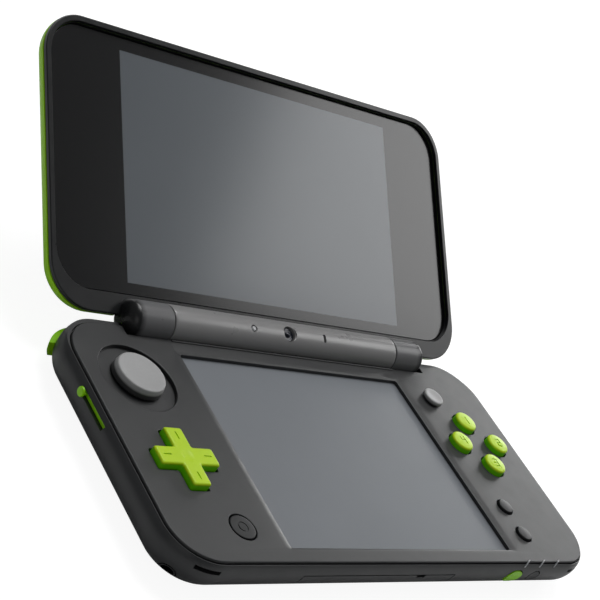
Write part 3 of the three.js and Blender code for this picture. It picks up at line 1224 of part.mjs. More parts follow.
function leftDomeSheet() {
  const low = BOARD_TOP;
  const crossSheet = roundedSlab(LEFT_SHEET_HALF, LEFT_SHEET_HALF, SHEET_RADIUS, low, SHEET_TOP,
    CROSS_X, CROSS_Y, PLAIN_CORNER_STEPS);
  const homeTop = CROSS_Y;
  const homeLow = HOME_Y - HOME_RADIUS;
  const homeSheet = roundedSlab(LEFT_SHEET_NECK, (homeTop - homeLow) / 2, SHEET_RADIUS, low, SHEET_TOP,
    HOME_X, (homeTop + homeLow) / 2, PLAIN_CORNER_STEPS);
  return join(crossSheet, homeSheet, dome(HOME_X, HOME_Y));
}

// Light guide: a bar under the cover with a prong up to each light mark

function lightGuide() {
  const barBack = LIGHT_BAR_FRONT + LIGHT_BAR_WIDTH;
  const markLow = SHELL_TOP - LIGHT_DROP;
  const places = lightPlaces();
  const first = places[0] - LIGHT_WIDTH / 2;
  const last = places[places.length - 1] + LIGHT_WIDTH / 2;
  const bar = block(first, last, LIGHT_BAR_FRONT, barBack, LIGHT_BAR_LOW, LIGHT_BAR_TOP);
  const prongs = places.map((x) => barFromSection([
    [barBack, LIGHT_BAR_LOW],
    [barBack, LIGHT_BAR_TOP],
    [COVER_FRONT + LIGHT_RUN, LIGHT_BAR_TOP],
    [COVER_FRONT + LIGHT_RUN, BASE_HEIGHT + LIGHT_PROUD],
    [COVER_FRONT, BASE_HEIGHT + LIGHT_PROUD],
    [-HALF_DEPTH + frontInset(LIGHT_PROUD, SHELL_TOP), SHELL_TOP],
    [-HALF_DEPTH + frontInset(LIGHT_PROUD, markLow), markLow],
    [COVER_FRONT, markLow],
    [COVER_FRONT, LIGHT_BAR_LOW],
  ], x - LIGHT_WIDTH / 2, x + LIGHT_WIDTH / 2));
  return join(bar, ...prongs);
}

// Stylus, with its tip along +Y and its head's face following the curved front wall

function stylus() {
  const shaftEnd = STYLUS_LENGTH - STYLUS_TIP_LENGTH - FIT_GAP;
  const bar = stylusHead(0, -STYLUS_HEAD_PROUD - OVERRUN, STYLUS_HEAD_DEPTH - FIT_GAP);
  bar.translate(STYLUS_X, -HALF_DEPTH, STYLUS_Z);
  const head = common(bar, baseHull(STYLUS_HEAD_PROUD, SHELL_TOP));
  head.translate(-STYLUS_X, HALF_DEPTH, -STYLUS_Z);
  const shaft = barAlongY(0, STYLUS_HEAD_DEPTH / 2, shaftEnd, 0, STYLUS_RADIUS);
  const tip = barAlongY(0, shaftEnd - OVERRUN, STYLUS_LENGTH - FIT_GAP, 0, STYLUS_RADIUS, STYLUS_TIP_RADIUS);
  return join(head, shaft, tip);
}

// Power button: a plug through the front wall with a flange behind it
function powerButton() {
  const plug = common(barAlongY(POWER_X, -HALF_DEPTH - OVERRUN, -HALF_DEPTH + POWER_BODY_LENGTH, POWER_Z,
    POWER_RADIUS), baseHull(0, SHELL_TOP));
  const flangeStart = -HALF_DEPTH + POWER_BODY_LENGTH - POWER_FLANGE;
  const flange = barAlongY(POWER_X, flangeStart, flangeStart + POWER_FLANGE * 2, POWER_Z,
    POWER_RADIUS + POWER_FLANGE);
  return join(plug, flange);
}

// Volume slider: a plate behind the wall, and a neck and round knob through the slot
function volumeSlider() {
  const plateX = VOLUME_POCKET_X + FIT_GAP;
  const knobY = VOLUME_SLOT_BACK - VOLUME_KNOB_RADIUS;
  const plate = block(plateX, plateX + VOLUME_PLATE_THICKNESS, VOLUME_SLOT_FRONT, VOLUME_PLATE_BACK,
    VOLUME_PLATE_LOW, COVER_BOTTOM - FIT_GAP);
  const knobOut = -HALF_WIDTH - VOLUME_KNOB_PROUD;
  const neck = block(knobOut + VOLUME_KNOB_PROUD / 2, plateX + VOLUME_PLATE_THICKNESS / 2,
    knobY - VOLUME_NECK_WIDTH / 2, knobY + VOLUME_NECK_WIDTH / 2,
    VOLUME_Z - VOLUME_NECK_HEIGHT / 2, VOLUME_Z + VOLUME_NECK_HEIGHT / 2);
  const knob = barAlongX(knobOut, -HALF_WIDTH - FIT_GAP / 2, knobY, VOLUME_Z, VOLUME_KNOB_RADIUS,
    SMALL_ROUND_STEPS);
  return join(plate, neck, knob);
}

// Shoulder button: a piece of the wall round the back corner, proud of it
function shoulderButton(side) {
  const skin = cut(baseHull(SHOULDER_PROUD, SHELL_TOP), baseHull(-SHOULDER_DEPTH, SHELL_TOP + OVERRUN));
  return common(skin, shoulderBlock(side, 0, 0));
}

function triggerButton(side) {
  const skin = cut(baseHull(TRIGGER_PROUD, SHELL_TOP), baseHull(-TRIGGER_DEPTH, SHELL_TOP + OVERRUN));
  return common(skin, triggerBlock(side, 0));
}

// Middle barrel of the hinge, along X round the origin, with pockets that face forwards and up

// Places a shape built upwards from z = 0 in the barrel's middle, at x, turned to face the player
function onBarrel(geometry, x) {
  geometry.rotateX(THREE.MathUtils.degToRad(EYE_TURN_DEG));
  geometry.translate(x, 0, 0);
  return geometry;
}

function hingeBarrel() {
  const body = turned([
    [0, -BARREL_HALF_LENGTH],
    [BARREL_RADIUS - BARREL_EDGE_CHAMFER, -BARREL_HALF_LENGTH],
    [BARREL_RADIUS, -BARREL_HALF_LENGTH + BARREL_EDGE_CHAMFER],
    [BARREL_RADIUS, BARREL_HALF_LENGTH - BARREL_EDGE_CHAMFER],
    [BARREL_RADIUS - BARREL_EDGE_CHAMFER, BARREL_HALF_LENGTH],
    [0, BARREL_HALF_LENGTH],
  ], LARGE_ROUND_STEPS);
  body.rotateY(Math.PI / 2);
  const boreEnd = BARREL_HALF_LENGTH - PIN_IN_BARREL - FIT_GAP;
  const tools = [
    barAlongX(boreEnd, BARREL_HALF_LENGTH + OVERRUN, 0, 0, PIN_RADIUS + PIN_FIT, SMALL_ROUND_STEPS),
    barAlongX(-BARREL_HALF_LENGTH - OVERRUN, -boreEnd, 0, 0, PIN_RADIUS + PIN_FIT, SMALL_ROUND_STEPS),
  ];
  const high = BARREL_RADIUS + OVERRUN;
  const cameraLow = BARREL_RADIUS - CAMERA_POCKET_DEPTH;
  const signalLow = BARREL_RADIUS - SIGNAL_DEPTH - FIT_GAP;
  tools.push(onBarrel(post(0, 0, cameraLow, high, CAMERA_RADIUS + FIT_GAP), CAMERA_X));
  tools.push(onBarrel(post(0, 0, signalLow, high, SIGNAL_RADIUS + FIT_GAP), SIGNAL_X));
  tools.push(onBarrel(block(-MIC_WIDTH / 2, MIC_WIDTH / 2, -MIC_LENGTH / 2, MIC_LENGTH / 2,
    BARREL_RADIUS - MIC_DEPTH, high), MIC_X));
  return cut(body, ...tools);
}

function innerCamera() {
  const low = BARREL_RADIUS - CAMERA_POCKET_DEPTH + FIT_GAP;
  return onBarrel(turned([
    [0, low],
    [CAMERA_RADIUS, low],
    [CAMERA_RADIUS, low + CAMERA_LENS_DEPTH * LENS_RIM_SHARE],
    [CAMERA_RADIUS / 2, low + CAMERA_LENS_DEPTH],
    [0, low + CAMERA_LENS_DEPTH],
  ]), CAMERA_X);
}

function cameraLight() {
  const low = BARREL_RADIUS - SIGNAL_DEPTH;
  return onBarrel(post(0, 0, low, BARREL_RADIUS, SIGNAL_RADIUS), SIGNAL_X);
}

function microphone() {
  const gap = MIC_CAPSULE_GAP;
  const low = BARREL_RADIUS - MIC_DEPTH + gap;
  return onBarrel(block(-MIC_WIDTH / 2 + gap, MIC_WIDTH / 2 - gap, -MIC_LENGTH / 2 + gap,
    MIC_LENGTH / 2 - gap, low, low + MIC_CAPSULE_DEPTH), MIC_X);
}

function hingePin(side) {
  const start = BARREL_HALF_LENGTH - PIN_IN_BARREL;
  const end = start + PIN_LENGTH;
  return side < 0 ? barAlongX(-end, -start, 0, 0, PIN_RADIUS, SMALL_ROUND_STEPS)
    : barAlongX(start, end, 0, 0, PIN_RADIUS, SMALL_ROUND_STEPS);
}

// Lid, all in the lid's own frame

// Rounded outline of the lid, drawn in by inset
function lidPoints(inset) {
  return roundedPoints(LID_HALF_WIDTH - inset, LID_HEIGHT / 2 - inset, LID_CORNER_RADIUS - inset);
}

const LID_CENTRE = LID_LOW_EDGE + LID_HEIGHT / 2;

function lidSlab(inset, z0, z1) {
  return loft([{ points: lidPoints(inset), z: z0 }, { points: lidPoints(inset), z: z1 }], LID_CENTRE);
}

// How far the lid's quarter-round shell stands in at a height behind its front edge
function lidShellInset(z) {
  return roundInset(LID_BACK_ROUND, 0, LID_SHELL_FRONT - z);
}

// The quarter-round form of the shell from a height up to its front edge, drawn in by inset
function lidBowl(inset, low) {
  const start = Math.acos((LID_SHELL_FRONT - low) / LID_BACK_ROUND);
  const rings = [];
  for (let step = 0; step <= LID_ROUND_STEPS; step += 1) {
    const angle = start + (Math.PI / 2 - start) * step / LID_ROUND_STEPS;
    const z = LID_SHELL_FRONT - LID_BACK_ROUND * Math.cos(angle);
    rings.push({ points: lidPoints(inset + lidShellInset(z)), z });
  }
  return rings;
}

function lidShell() {
  const outer = loft(lidBowl(0, LID_SHELL_BACK), LID_CENTRE);
  const pocket = lidSlab(LID_PANEL_INSET - FIT_GAP, LID_SHELL_BACK - OVERRUN,
    LID_BACK + LID_PANEL_THICKNESS + FIT_GAP);
  const inner = lidBowl(LID_SHELL_WALL, LID_INNER_BACK);
  const hollow = loft([...inner, { points: lidPoints(LID_SHELL_WALL), z: LID_FACE }], LID_CENTRE);
  const tools = [hollow, pocket, barAlongX(-TROUGH_HALF_LENGTH, TROUGH_HALF_LENGTH, 0, 0, TROUGH_RADIUS)];
  for (const side of [-1, 1]) {
    tools.push(post(side * OUTER_CAMERA_SPACING / 2, OUTER_CAMERA_UP_LID, LID_BACK - OVERRUN,
      LID_INNER_BACK + OVERRUN, OUTER_CAMERA_RADIUS + FIT_GAP));
  }
  return cut(outer, ...tools);
}

function lidPanel() {
  const tools = [-1, 1].map((side) => post(side * OUTER_CAMERA_SPACING / 2, OUTER_CAMERA_UP_LID,
    LID_BACK - OVERRUN, LID_INNER_BACK, OUTER_CAMERA_RADIUS + FIT_GAP));
  const edge = LID_PANEL_PROUD;
  const slab = loft([
    { points: lidPoints(LID_PANEL_INSET + edge), z: LID_BACK },
    { points: lidPoints(LID_PANEL_INSET), z: LID_BACK + edge },
    { points: lidPoints(LID_PANEL_INSET), z: LID_BACK + LID_PANEL_THICKNESS },
  ], LID_CENTRE);
  return cut(slab, ...tools);
}

function outerCamera() {
  const low = LID_BACK + LID_PANEL_PROUD / 2;
  return turned([
    [0, low + OUTER_LENS_SINK],
    [OUTER_CAMERA_RADIUS / 2, low + OUTER_LENS_SINK],
    [OUTER_CAMERA_RADIUS * LENS_RIM_SHARE, low],
    [OUTER_CAMERA_RADIUS, low],
    [OUTER_CAMERA_RADIUS, low + OUTER_CAMERA_DEPTH],
    [0, low + OUTER_CAMERA_DEPTH],
  ]);
}

function knuckle(side) {
  const profile = [[0, KNUCKLE_START], [BARREL_RADIUS - BARREL_EDGE_CHAMFER, KNUCKLE_START]];
  profile.push([BARREL_RADIUS, KNUCKLE_START + BARREL_EDGE_CHAMFER]);
  const domeStart = KNUCKLE_START + KNUCKLE_LENGTH;
  for (let step = 0; step <= WALL_CURVE_STEPS; step += 1) {
    const angle = step / WALL_CURVE_STEPS * Math.PI / 2;
    const radius = step === WALL_CURVE_STEPS ? 0 : BARREL_RADIUS * Math.cos(angle);
    profile.push([radius, domeStart + KNUCKLE_DOME * Math.sin(angle)]);
  }
  const solid = turned(profile, LARGE_ROUND_STEPS);
  solid.rotateY(side * Math.PI / 2);
  return solid;
}

function lidFrame() {
  const edge = LID_FRAME_EDGE;
  const flange = loft([
    { points: lidPoints(0), z: LID_FLANGE_BACK },
    { points: lidPoints(0), z: LID_FACE - edge },
    { points: lidPoints(edge), z: LID_FACE },
  ], LID_CENTRE);
  const outer = join(flange, lidSlab(LID_FRAME_INSET, LID_FRAME_BACK, LID_FLANGE_BACK + edge));
  const recessHalfHeight = (GLASS_RECESS_TOP - GLASS_RECESS_LOW) / 2;
  const recessCentre = (GLASS_RECESS_TOP + GLASS_RECESS_LOW) / 2;
  const recess = roundedSlab(GLASS_HALF_WIDTH, recessHalfHeight, GLASS_RECESS_RADIUS,
    GLASS_RECESS_FLOOR, LID_FACE + OVERRUN, 0, recessCentre);
  const lcdX = UPPER_HALF_WIDTH + UPPER_LCD_BORDER + FIT_GAP;
  const lcdY = UPPER_HALF_HEIGHT + UPPER_LCD_BORDER + FIT_GAP;
  const window = block(-lcdX, lcdX, UPPER_CENTRE - lcdY, UPPER_CENTRE + lcdY, LID_BACK, LID_FACE);
  const middle = barAlongX(-KNUCKLE_START, KNUCKLE_START, 0, 0, TROUGH_RADIUS);
  const body = join(cut(outer, recess, window, middle), knuckle(-1), knuckle(1));
  const boreEnd = BARREL_HALF_LENGTH - PIN_IN_BARREL + PIN_LENGTH + FIT_GAP;
  const bores = [
    barAlongX(0, boreEnd, 0, 0, PIN_RADIUS + PIN_FIT, SMALL_ROUND_STEPS),
    barAlongX(-boreEnd, 0, 0, 0, PIN_RADIUS + PIN_FIT, SMALL_ROUND_STEPS),
  ];
  return cut(body, ...bores);
}

function lidGlass() {
  const gap = FIT_GAP;
  const halfHeight = (GLASS_RECESS_TOP - GLASS_RECESS_LOW) / 2 - gap;
  return roundedSlab(GLASS_HALF_WIDTH - gap, halfHeight, GLASS_RECESS_RADIUS - gap, GLASS_BOTTOM, GLASS_TOP,
    0, (GLASS_RECESS_TOP + GLASS_RECESS_LOW) / 2);
}

function upperLcd() {
  const halfX = UPPER_HALF_WIDTH + UPPER_LCD_BORDER;
  const halfY = UPPER_HALF_HEIGHT + UPPER_LCD_BORDER;
  return block(-halfX, halfX, UPPER_CENTRE - halfY, UPPER_CENTRE + halfY,
    UPPER_LCD_TOP - UPPER_LCD_THICKNESS, UPPER_LCD_TOP);
}

// Screws and foot pads

function caseScrew() {
  const headTop = SCREW_SINK + SCREW_HEAD_HEIGHT;
  const body = turned([
    [0, SCREW_SINK],
    [SCREW_HEAD_RADIUS, SCREW_SINK],
    [SCREW_HEAD_RADIUS, headTop],
    [SCREW_SHANK_RADIUS, headTop],
    [SCREW_SHANK_RADIUS, SCREW_SINK + SCREW_LENGTH],
    [0, SCREW_SINK + SCREW_LENGTH],
  ]);
  const reach = SCREW_HEAD_RADIUS * SCREW_SLOT_SHARE;
  const half = SCREW_SLOT_WIDTH / 2;
  const high = SCREW_SINK + SCREW_SLOT_DEPTH;
  return cut(body, block(-reach, reach, -half, half, -OVERRUN, high),
    block(-half, half, -reach, reach, -OVERRUN, high));
}

function footPad() {
  return turned([
    [0, 0],
    [FOOT_RADIUS - FOOT_EDGE, 0],
    [FOOT_RADIUS, FOOT_EDGE],
    [FOOT_RADIUS, FOOT_HEIGHT],
    [0, FOOT_HEIGHT],
  ]);
}

// Materials by finish
const FINISHES = {
  shell: { color: 0x2e2f33, roughness: 0.55, metalness: 0 },
  cover: { color: 0x34363a, roughness: 0.6, metalness: 0 },
  barrel: { color: 0x4a4c50, roughness: 0.4, metalness: 0.1 },
  green: { color: 0x9fd31f, roughness: 0.35, metalness: 0 },
  green_shell: { color: 0x8cc63f, roughness: 0.4, metalness: 0 },
  grey_rubber: { color: 0xc4c4c4, roughness: 0.7, metalness: 0 },
  black_button: { color: 0x1c1d20, roughness: 0.45, metalness: 0 },
  glass: { color: 0x0c0d10, roughness: 0.08, metalness: 0 },
  display: { color: 0x8b93a0, roughness: 0.2, metalness: 0 },
  steel: { color: 0xb8bcc2, roughness: 0.3, metalness: 1 },
  board: { color: 0x1f5a35, roughness: 0.5, metalness: 0 },
  battery: { color: 0x4b4e55, roughness: 0.5, metalness: 0 },
  rubber: { color: 0x17181a, roughness: 0.85, metalness: 0 },
  lens: { color: 0x101218, roughness: 0.1, metalness: 0 },
  clear: { color: 0xd8dde2, roughness: 0.25, metalness: 0 },
};

const console3d = new THREE.Group();
const lid = new THREE.Group();
lid.position.set(0, HINGE_Y, HINGE_Z);
lid.rotation.x = THREE.MathUtils.degToRad(LID_TILT_DEG);
console3d.add(lid);

// Adds one named piece to a group
function add(group, name, geometry, finish, position = [0, 0, 0]) {
  const mesh = new THREE.Mesh(geometry, new THREE.MeshStandardMaterial(FINISHES[finish]));
  mesh.name = name;
  mesh.position.set(...position);
  group.add(mesh);
}

// Casing of the base
add(console3d, 'bottom_shell', bottomShell(), 'shell');
add(console3d, 'top_cover', topCover(), 'cover');
add(console3d, 'touch_panel', touchPanel(), 'display');
add(console3d, 'lower_lcd', lowerLcd(), 'steel');
add(console3d, 'card_door', cardDoor(), 'shell');

// Inside the base
add(console3d, 'main_board', mainBoard(), 'board');
add(console3d, 'battery', battery(), 'battery');
add(console3d, 'game_card_socket', gameCardSocket(), 'steel', [CARD_LEFT + CARD_WIDTH / 2, SOCKET_FRONT,
  SHELL_WALL + FIT_GAP + CARD_SOCKET_WALL + CARD_SLOT_HEIGHT / 2]);
add(console3d, 'memory_card_socket', memoryCardSocket(), 'steel', [MEMORY_LEFT + MEMORY_WIDTH / 2,
  SOCKET_FRONT, SHELL_WALL + FIT_GAP + MEMORY_SOCKET_WALL + MEMORY_SLOT_HEIGHT / 2]);
add(console3d, 'charge_socket', chargeSocket(), 'steel',
  [CHARGE_X, HALF_DEPTH + FAIRING_REACH - CHARGE_RECESSED, CHARGE_Z]);
add(console3d, 'headphone_socket', headphoneSocket(), 'black_button');
for (const [name, side] of [['speaker_left', -1], ['speaker_right', 1]]) {
  add(console3d, name, speaker(), 'black_button',
    [side * SPEAKER_X, (SPEAKER_FRONT + SPEAKER_BACK) / 2, COVER_BOTTOM - FIT_GAP - SPEAKER_HEIGHT]);
}
add(console3d, 'dome_sheet_left', leftDomeSheet(), 'grey_rubber');
add(console3d, 'dome_sheet_right', rightDomeSheet(), 'grey_rubber');
add(console3d, 'light_guide', lightGuide(), 'clear');

// Controls on the cover
add(console3d, 'circle_pad_base', circlePadBase(), 'black_button', [PAD_X, PAD_Y, 0]);
add(console3d, 'circle_pad_carrier', circlePadCarrier(), 'black_button', [PAD_X, PAD_Y, 0]);
add(console3d, 'circle_pad_slide', circlePadSlide(), 'black_button', [PAD_X, PAD_Y, 0]);
add(console3d, 'circle_pad_cap', circlePadCap(), 'grey_rubber', [PAD_X, PAD_Y, 0]);
add(console3d, 'cross_pad_ring', crossPadRing(), 'black_button', [CROSS_X, CROSS_Y, 0]);
add(console3d, 'cross_pad', crossPad(), 'green', [CROSS_X, CROSS_Y, 0]);
add(console3d, 'stick_ring', nubRing(), 'black_button', [NUB_X, NUB_Y, 0]);
add(console3d, 'stick_post', nubPost(), 'steel', [NUB_X, NUB_Y, 0]);
add(console3d, 'stick_cap', nubCap(), 'grey_rubber', [NUB_X, NUB_Y, 0]);
faceButtonPlaces().forEach(([x, y], i) => {
  add(console3d, `face_button_${i + 1}`, faceButton(i + 1), 'green', [x, y, 0]);
});
add(console3d, 'start_button', pushButton(MENU_RADIUS, MENU_ABOVE_COVER), 'black_button',
  [MENU_X, MENU_UPPER_Y, 0]);
add(console3d, 'select_button', pushButton(MENU_RADIUS, MENU_ABOVE_COVER), 'black_button',
  [MENU_X, MENU_LOWER_Y, 0]);
add(console3d, 'home_button', pushButton(HOME_RADIUS, HOME_ABOVE_COVER), 'cover', [HOME_X, HOME_Y, 0]);

// Controls in the walls
add(console3d, 'power_button', powerButton(), 'black_button');
add(console3d, 'volume_slider', volumeSlider(), 'green');
for (const [suffix, side] of [['left', -1], ['right', 1]]) {
  add(console3d, `shoulder_button_${suffix}`, shoulderButton(side), 'green');
  add(console3d, `trigger_button_${suffix}`, triggerButton(side), 'green');
}
add(console3d, 'stylus', stylus(), 'green', [STYLUS_X, -HALF_DEPTH, STYLUS_Z]);

// Hinge
add(console3d, 'hinge_barrel', hingeBarrel(), 'barrel', [0, HINGE_Y, HINGE_Z]);
add(console3d, 'inner_camera', innerCamera(), 'lens', [0, HINGE_Y, HINGE_Z]);
add(console3d, 'camera_light', cameraLight(), 'clear', [0, HINGE_Y, HINGE_Z]);
add(console3d, 'microphone', microphone(), 'black_button', [0, HINGE_Y, HINGE_Z]);
add(console3d, 'hinge_pin_left', hingePin(-1), 'steel', [0, HINGE_Y, HINGE_Z]);
add(console3d, 'hinge_pin_right', hingePin(1), 'steel', [0, HINGE_Y, HINGE_Z]);

// Lid
add(lid, 'lid_frame', lidFrame(), 'cover');
add(lid, 'lid_glass', lidGlass(), 'glass');
add(lid, 'upper_lcd', upperLcd(), 'display');
add(lid, 'lid_shell', lidShell(), 'green_shell');
add(lid, 'lid_panel', lidPanel(), 'shell');
for (const [name, side] of [['outer_camera_left', -1], ['outer_camera_right', 1]]) {
  add(lid, name, outerCamera(), 'lens', [side * OUTER_CAMERA_SPACING / 2, OUTER_CAMERA_UP_LID, 0]);
}

// Underside
screwPlaces().forEach(([x, y], i) => add(console3d, `case_screw_${i + 1}`, caseScrew(), 'steel', [x, y, 0]));
footPlaces().forEach(([x, y], i) => add(console3d, `foot_pad_${i + 1}`, footPad(), 'rubber', [x, y, 0]));

export default console3d;
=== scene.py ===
"""Looks of an open clamshell handheld console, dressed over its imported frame.

Lengths are millimetres until a surface becomes a mesh, where they turn into metres. The frame has its
origin at the centre of the underside, +X to the player's right, -Y towards the player and +Z up.
"""
import json
import logging
import math
from dataclasses import dataclass, field
from enum import Enum
from typing import Sequence

import bpy
import numpy as np
from mathutils import Matrix


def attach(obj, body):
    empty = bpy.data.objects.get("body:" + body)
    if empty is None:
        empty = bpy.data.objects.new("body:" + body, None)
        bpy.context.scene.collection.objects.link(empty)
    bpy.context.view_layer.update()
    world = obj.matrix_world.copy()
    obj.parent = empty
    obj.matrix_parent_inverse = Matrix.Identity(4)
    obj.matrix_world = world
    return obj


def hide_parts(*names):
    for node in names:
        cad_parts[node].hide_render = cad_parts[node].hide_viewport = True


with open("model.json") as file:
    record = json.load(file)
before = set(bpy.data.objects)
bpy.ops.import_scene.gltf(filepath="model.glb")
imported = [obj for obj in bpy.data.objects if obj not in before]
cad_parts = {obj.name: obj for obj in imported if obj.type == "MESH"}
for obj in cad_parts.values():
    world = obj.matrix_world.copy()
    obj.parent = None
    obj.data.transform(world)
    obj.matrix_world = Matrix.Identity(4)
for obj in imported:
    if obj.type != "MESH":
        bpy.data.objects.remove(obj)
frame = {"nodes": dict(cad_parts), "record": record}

LOG = logging.getLogger("console")
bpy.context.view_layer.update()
MM = 0.001
GAP = 0.3
PAST = 1.0
WAVE_TURN = 6.283
HINGE_Y, HINGE_Z = 39.9, 12.57
BARREL_RADIUS = 5.2
PIN_RADIUS = 1.6

Pairs = Sequence[tuple[float, float]]
Colour = tuple[float, float, float]


# Surfaces


@dataclass
class Skin:
    """A closed surface: its points in millimetres and its faces, which point outwards."""

    points: np.ndarray
    faces: list[list[int]]

    def moved(self, x: float = 0.0, y: float = 0.0, z: float = 0.0) -> "Skin":
        """The surface shifted by a distance along each axis."""
        return Skin(self.points + np.array([x, y, z]), self.faces)

    def rolled(self, matrix: np.ndarray) -> "Skin":
        """The surface turned by a 3 by 3 rotation."""
        return Skin(self.points @ matrix.T, self.faces)

    def about_x(self, degrees: float) -> "Skin":
        """The surface turned about the X axis."""
        return self.rolled(np.array(Matrix.Rotation(math.radians(degrees), 3, "X")))

    def about_y(self, degrees: float) -> "Skin":
        """The surface turned about the Y axis."""
        return self.rolled(np.array(Matrix.Rotation(math.radians(degrees), 3, "Y")))

    def about_z(self, degrees: float) -> "Skin":
        """The surface turned about the Z axis."""
        return self.rolled(np.array(Matrix.Rotation(math.radians(degrees), 3, "Z")))

    def laid(self) -> "Skin":
        """The surface with its Z laid along X, its X along Y and its Y upwards."""
        return Skin(self.points[:, [2, 0, 1]], self.faces)


def rounded(half_x: float, half_y: float, radius: float, steps: int = 20) -> np.ndarray:
    """Outline of a rounded rectangle: four quarter circles joined by straight sides, anticlockwise.

    Args:
        half_x: Half of the width.
        half_y: Half of the height.
        radius: Radius of the quarter circles.
        steps: Chords on each quarter circle.

    Returns:
        Points of shape (4 * (steps + 1), 2).
    """
    radius = max(radius, 0.01)
    turn = np.linspace(0, np.pi / 2, steps + 1)
    angles = (np.arange(4)[:, None] * np.pi / 2 + turn).ravel()
    centre_x = np.repeat([1, -1, -1, 1], steps + 1) * (half_x - radius)
    centre_y = np.repeat([1, 1, -1, -1], steps + 1) * (half_y - radius)
    return np.stack([centre_x + radius * np.cos(angles), centre_y + radius * np.sin(angles)], axis=1)


def square_cornered(corners: Pairs, radius: float, steps: int = 5) -> np.ndarray:
    """Outline with right-angled corners, each replaced by a quarter circle between its two sides.

    A point of the arc is the circle's centre less the radius times the cosine along the next side and
    the sine along the side before, so the same words serve outward and inward corners.

    Args:
        corners: The corners in order.
        radius: Radius of every arc.
        steps: Chords on each arc.

    Returns:
        Points of shape (corners * (steps + 1), 2).
    """
    at = np.asarray(corners, dtype=float)
    back = np.roll(at, 1, axis=0) - at
    ahead = np.roll(at, -1, axis=0) - at
    back /= np.linalg.norm(back, axis=1, keepdims=True)
    ahead /= np.linalg.norm(ahead, axis=1, keepdims=True)
    turn = np.linspace(0, np.pi / 2, steps + 1)[None, :, None]
    centre = at + radius * (back + ahead)
    arc = centre[:, None] - radius * (ahead[:, None] * np.cos(turn) + back[:, None] * np.sin(turn))
    return arc.reshape(-1, 2)


def cross_corners(half_length: float, half_width: float) -> list[tuple[float, float]]:
    """The twelve corners of a cross with square ends, anticlockwise."""
    a, b = half_length, half_width
    return [(a, -b), (a, b), (b, b), (b, a), (-b, a), (-b, b), (-a, b), (-a, -b), (-b, -b), (-b, -a),
            (b, -a), (b, -b)]


def stacked(outlines: Sequence[np.ndarray], heights: Sequence[float]) -> Skin:
    """Closed skin through flat outlines of equally many points, listed upwards.

    Each outline is lifted to its height, neighbours are joined by quads, and the two ends are capped.

    Args:
        outlines: Arrays of shape (count, 2).
        heights: The height of each outline.

    Returns:
        The closed surface.
    """
    flat = np.stack(outlines)
    levels, count, _ = flat.shape
    lifted = np.repeat(np.asarray(heights, dtype=float), count).reshape(levels, count, 1)
    index = np.arange(levels * count).reshape(levels, count)
    low, high = index[:-1], index[1:]
    quads = np.stack([low, np.roll(low, -1, 1), np.roll(high, -1, 1), high], axis=-1).reshape(-1, 4)
    faces = quads.tolist() + [index[0][::-1].tolist(), index[-1].tolist()]
    return Skin(np.concatenate([flat, lifted], axis=2).reshape(-1, 3), faces)


def turned(profile: Pairs, steps: int = 72) -> Skin:
    """Surface of revolution about Z from (radius, height) pairs whose first and last are on the axis.

    Args:
        profile: The pairs, listed from the lower pole round the outside to the upper pole.
        steps: Chords round the axis.

    Returns:
        The closed surface.
    """
    pairs = np.asarray(profile, dtype=float)
    angles = np.arange(steps) * 2 * np.pi / steps
    body = pairs[1:-1]
    rings = np.stack([body[:, :1] * np.cos(angles), body[:, :1] * np.sin(angles),
                      np.repeat(body[:, 1:], steps, axis=1)], axis=-1)
    count = len(body) * steps
    points = np.concatenate([rings.reshape(-1, 3), [[0, 0, pairs[0, 1]], [0, 0, pairs[-1, 1]]]])
    index = np.arange(count).reshape(len(body), steps)
    low, high = index[:-1], index[1:]
    quads = np.stack([low, np.roll(low, -1, 1), np.roll(high, -1, 1), high], axis=-1).reshape(-1, 4)
    first, last = index[0], index[-1]
    under = np.stack([np.full(steps, count), np.roll(first, -1), first], axis=-1)
    over = np.stack([np.full(steps, count + 1), last, np.roll(last, -1)], axis=-1)
    return Skin(points, quads.tolist() + under.tolist() + over.tolist())


def rod(radius: float, low: float, high: float, steps: int) -> Skin:
    """A round bar along Z between two heights."""
    return turned([(0, low), (radius, low), (radius, high), (0, high)], steps)


def block(x0: float, x1: float, y0: float, y1: float, z0: float, z1: float) -> Skin:
    """A plain cutting block between two corners, used only as a tool."""
    outline = np.array([(x1, y1), (x0, y1), (x0, y0), (x1, y0)])
    return stacked([outline, outline], [z0, z1])


def paired(across: np.ndarray, up: np.ndarray) -> list[tuple[float, float]]:
    """Two rows of numbers as the (radius, height) pairs of a profile."""
    return list(zip(across.tolist(), up.tolist()))


def arc(centre: tuple[float, float], radius: float, start: float, end: float,
        steps: int = 6) -> list[tuple[float, float]]:
    """Points of a circular arc in a profile, from one angle in degrees to another."""
    angles = np.radians(np.linspace(start, end, steps + 1))
    return paired(centre[0] + radius * np.cos(angles), centre[1] + radius * np.sin(angles))


def peg(x: float, y: float, z0: float, z1: float, radius: float, lip: float = 0.0,
        steps: int = 72) -> Skin:
    """A round cutting tool along Z whose upper end flares by a quarter round below z1.

    The radius grows as radius + lip - lip * cos(angle) while the height climbs the last lip, so a hole
    that it cuts at z1 gets a soft edge. The tool goes on straight for one more millimetre.

    Args:
        x: Centre.
        y: Centre.
        z0: Lower end.
        z1: Height of the surface that is cut.
        radius: Radius of the hole.
        lip: Radius of the soft edge.
        steps: Chords round the axis.

    Returns:
        The closed tool.
    """
    profile = [(0.0, z0), (radius, z0)]
    if lip > 0:
        profile += arc((radius + lip, z1 - lip), lip, 180, 90, 4)
    profile += [(radius + lip, z1 + PAST), (0.0, z1 + PAST)]
    return turned(profile, steps).moved(x, y)


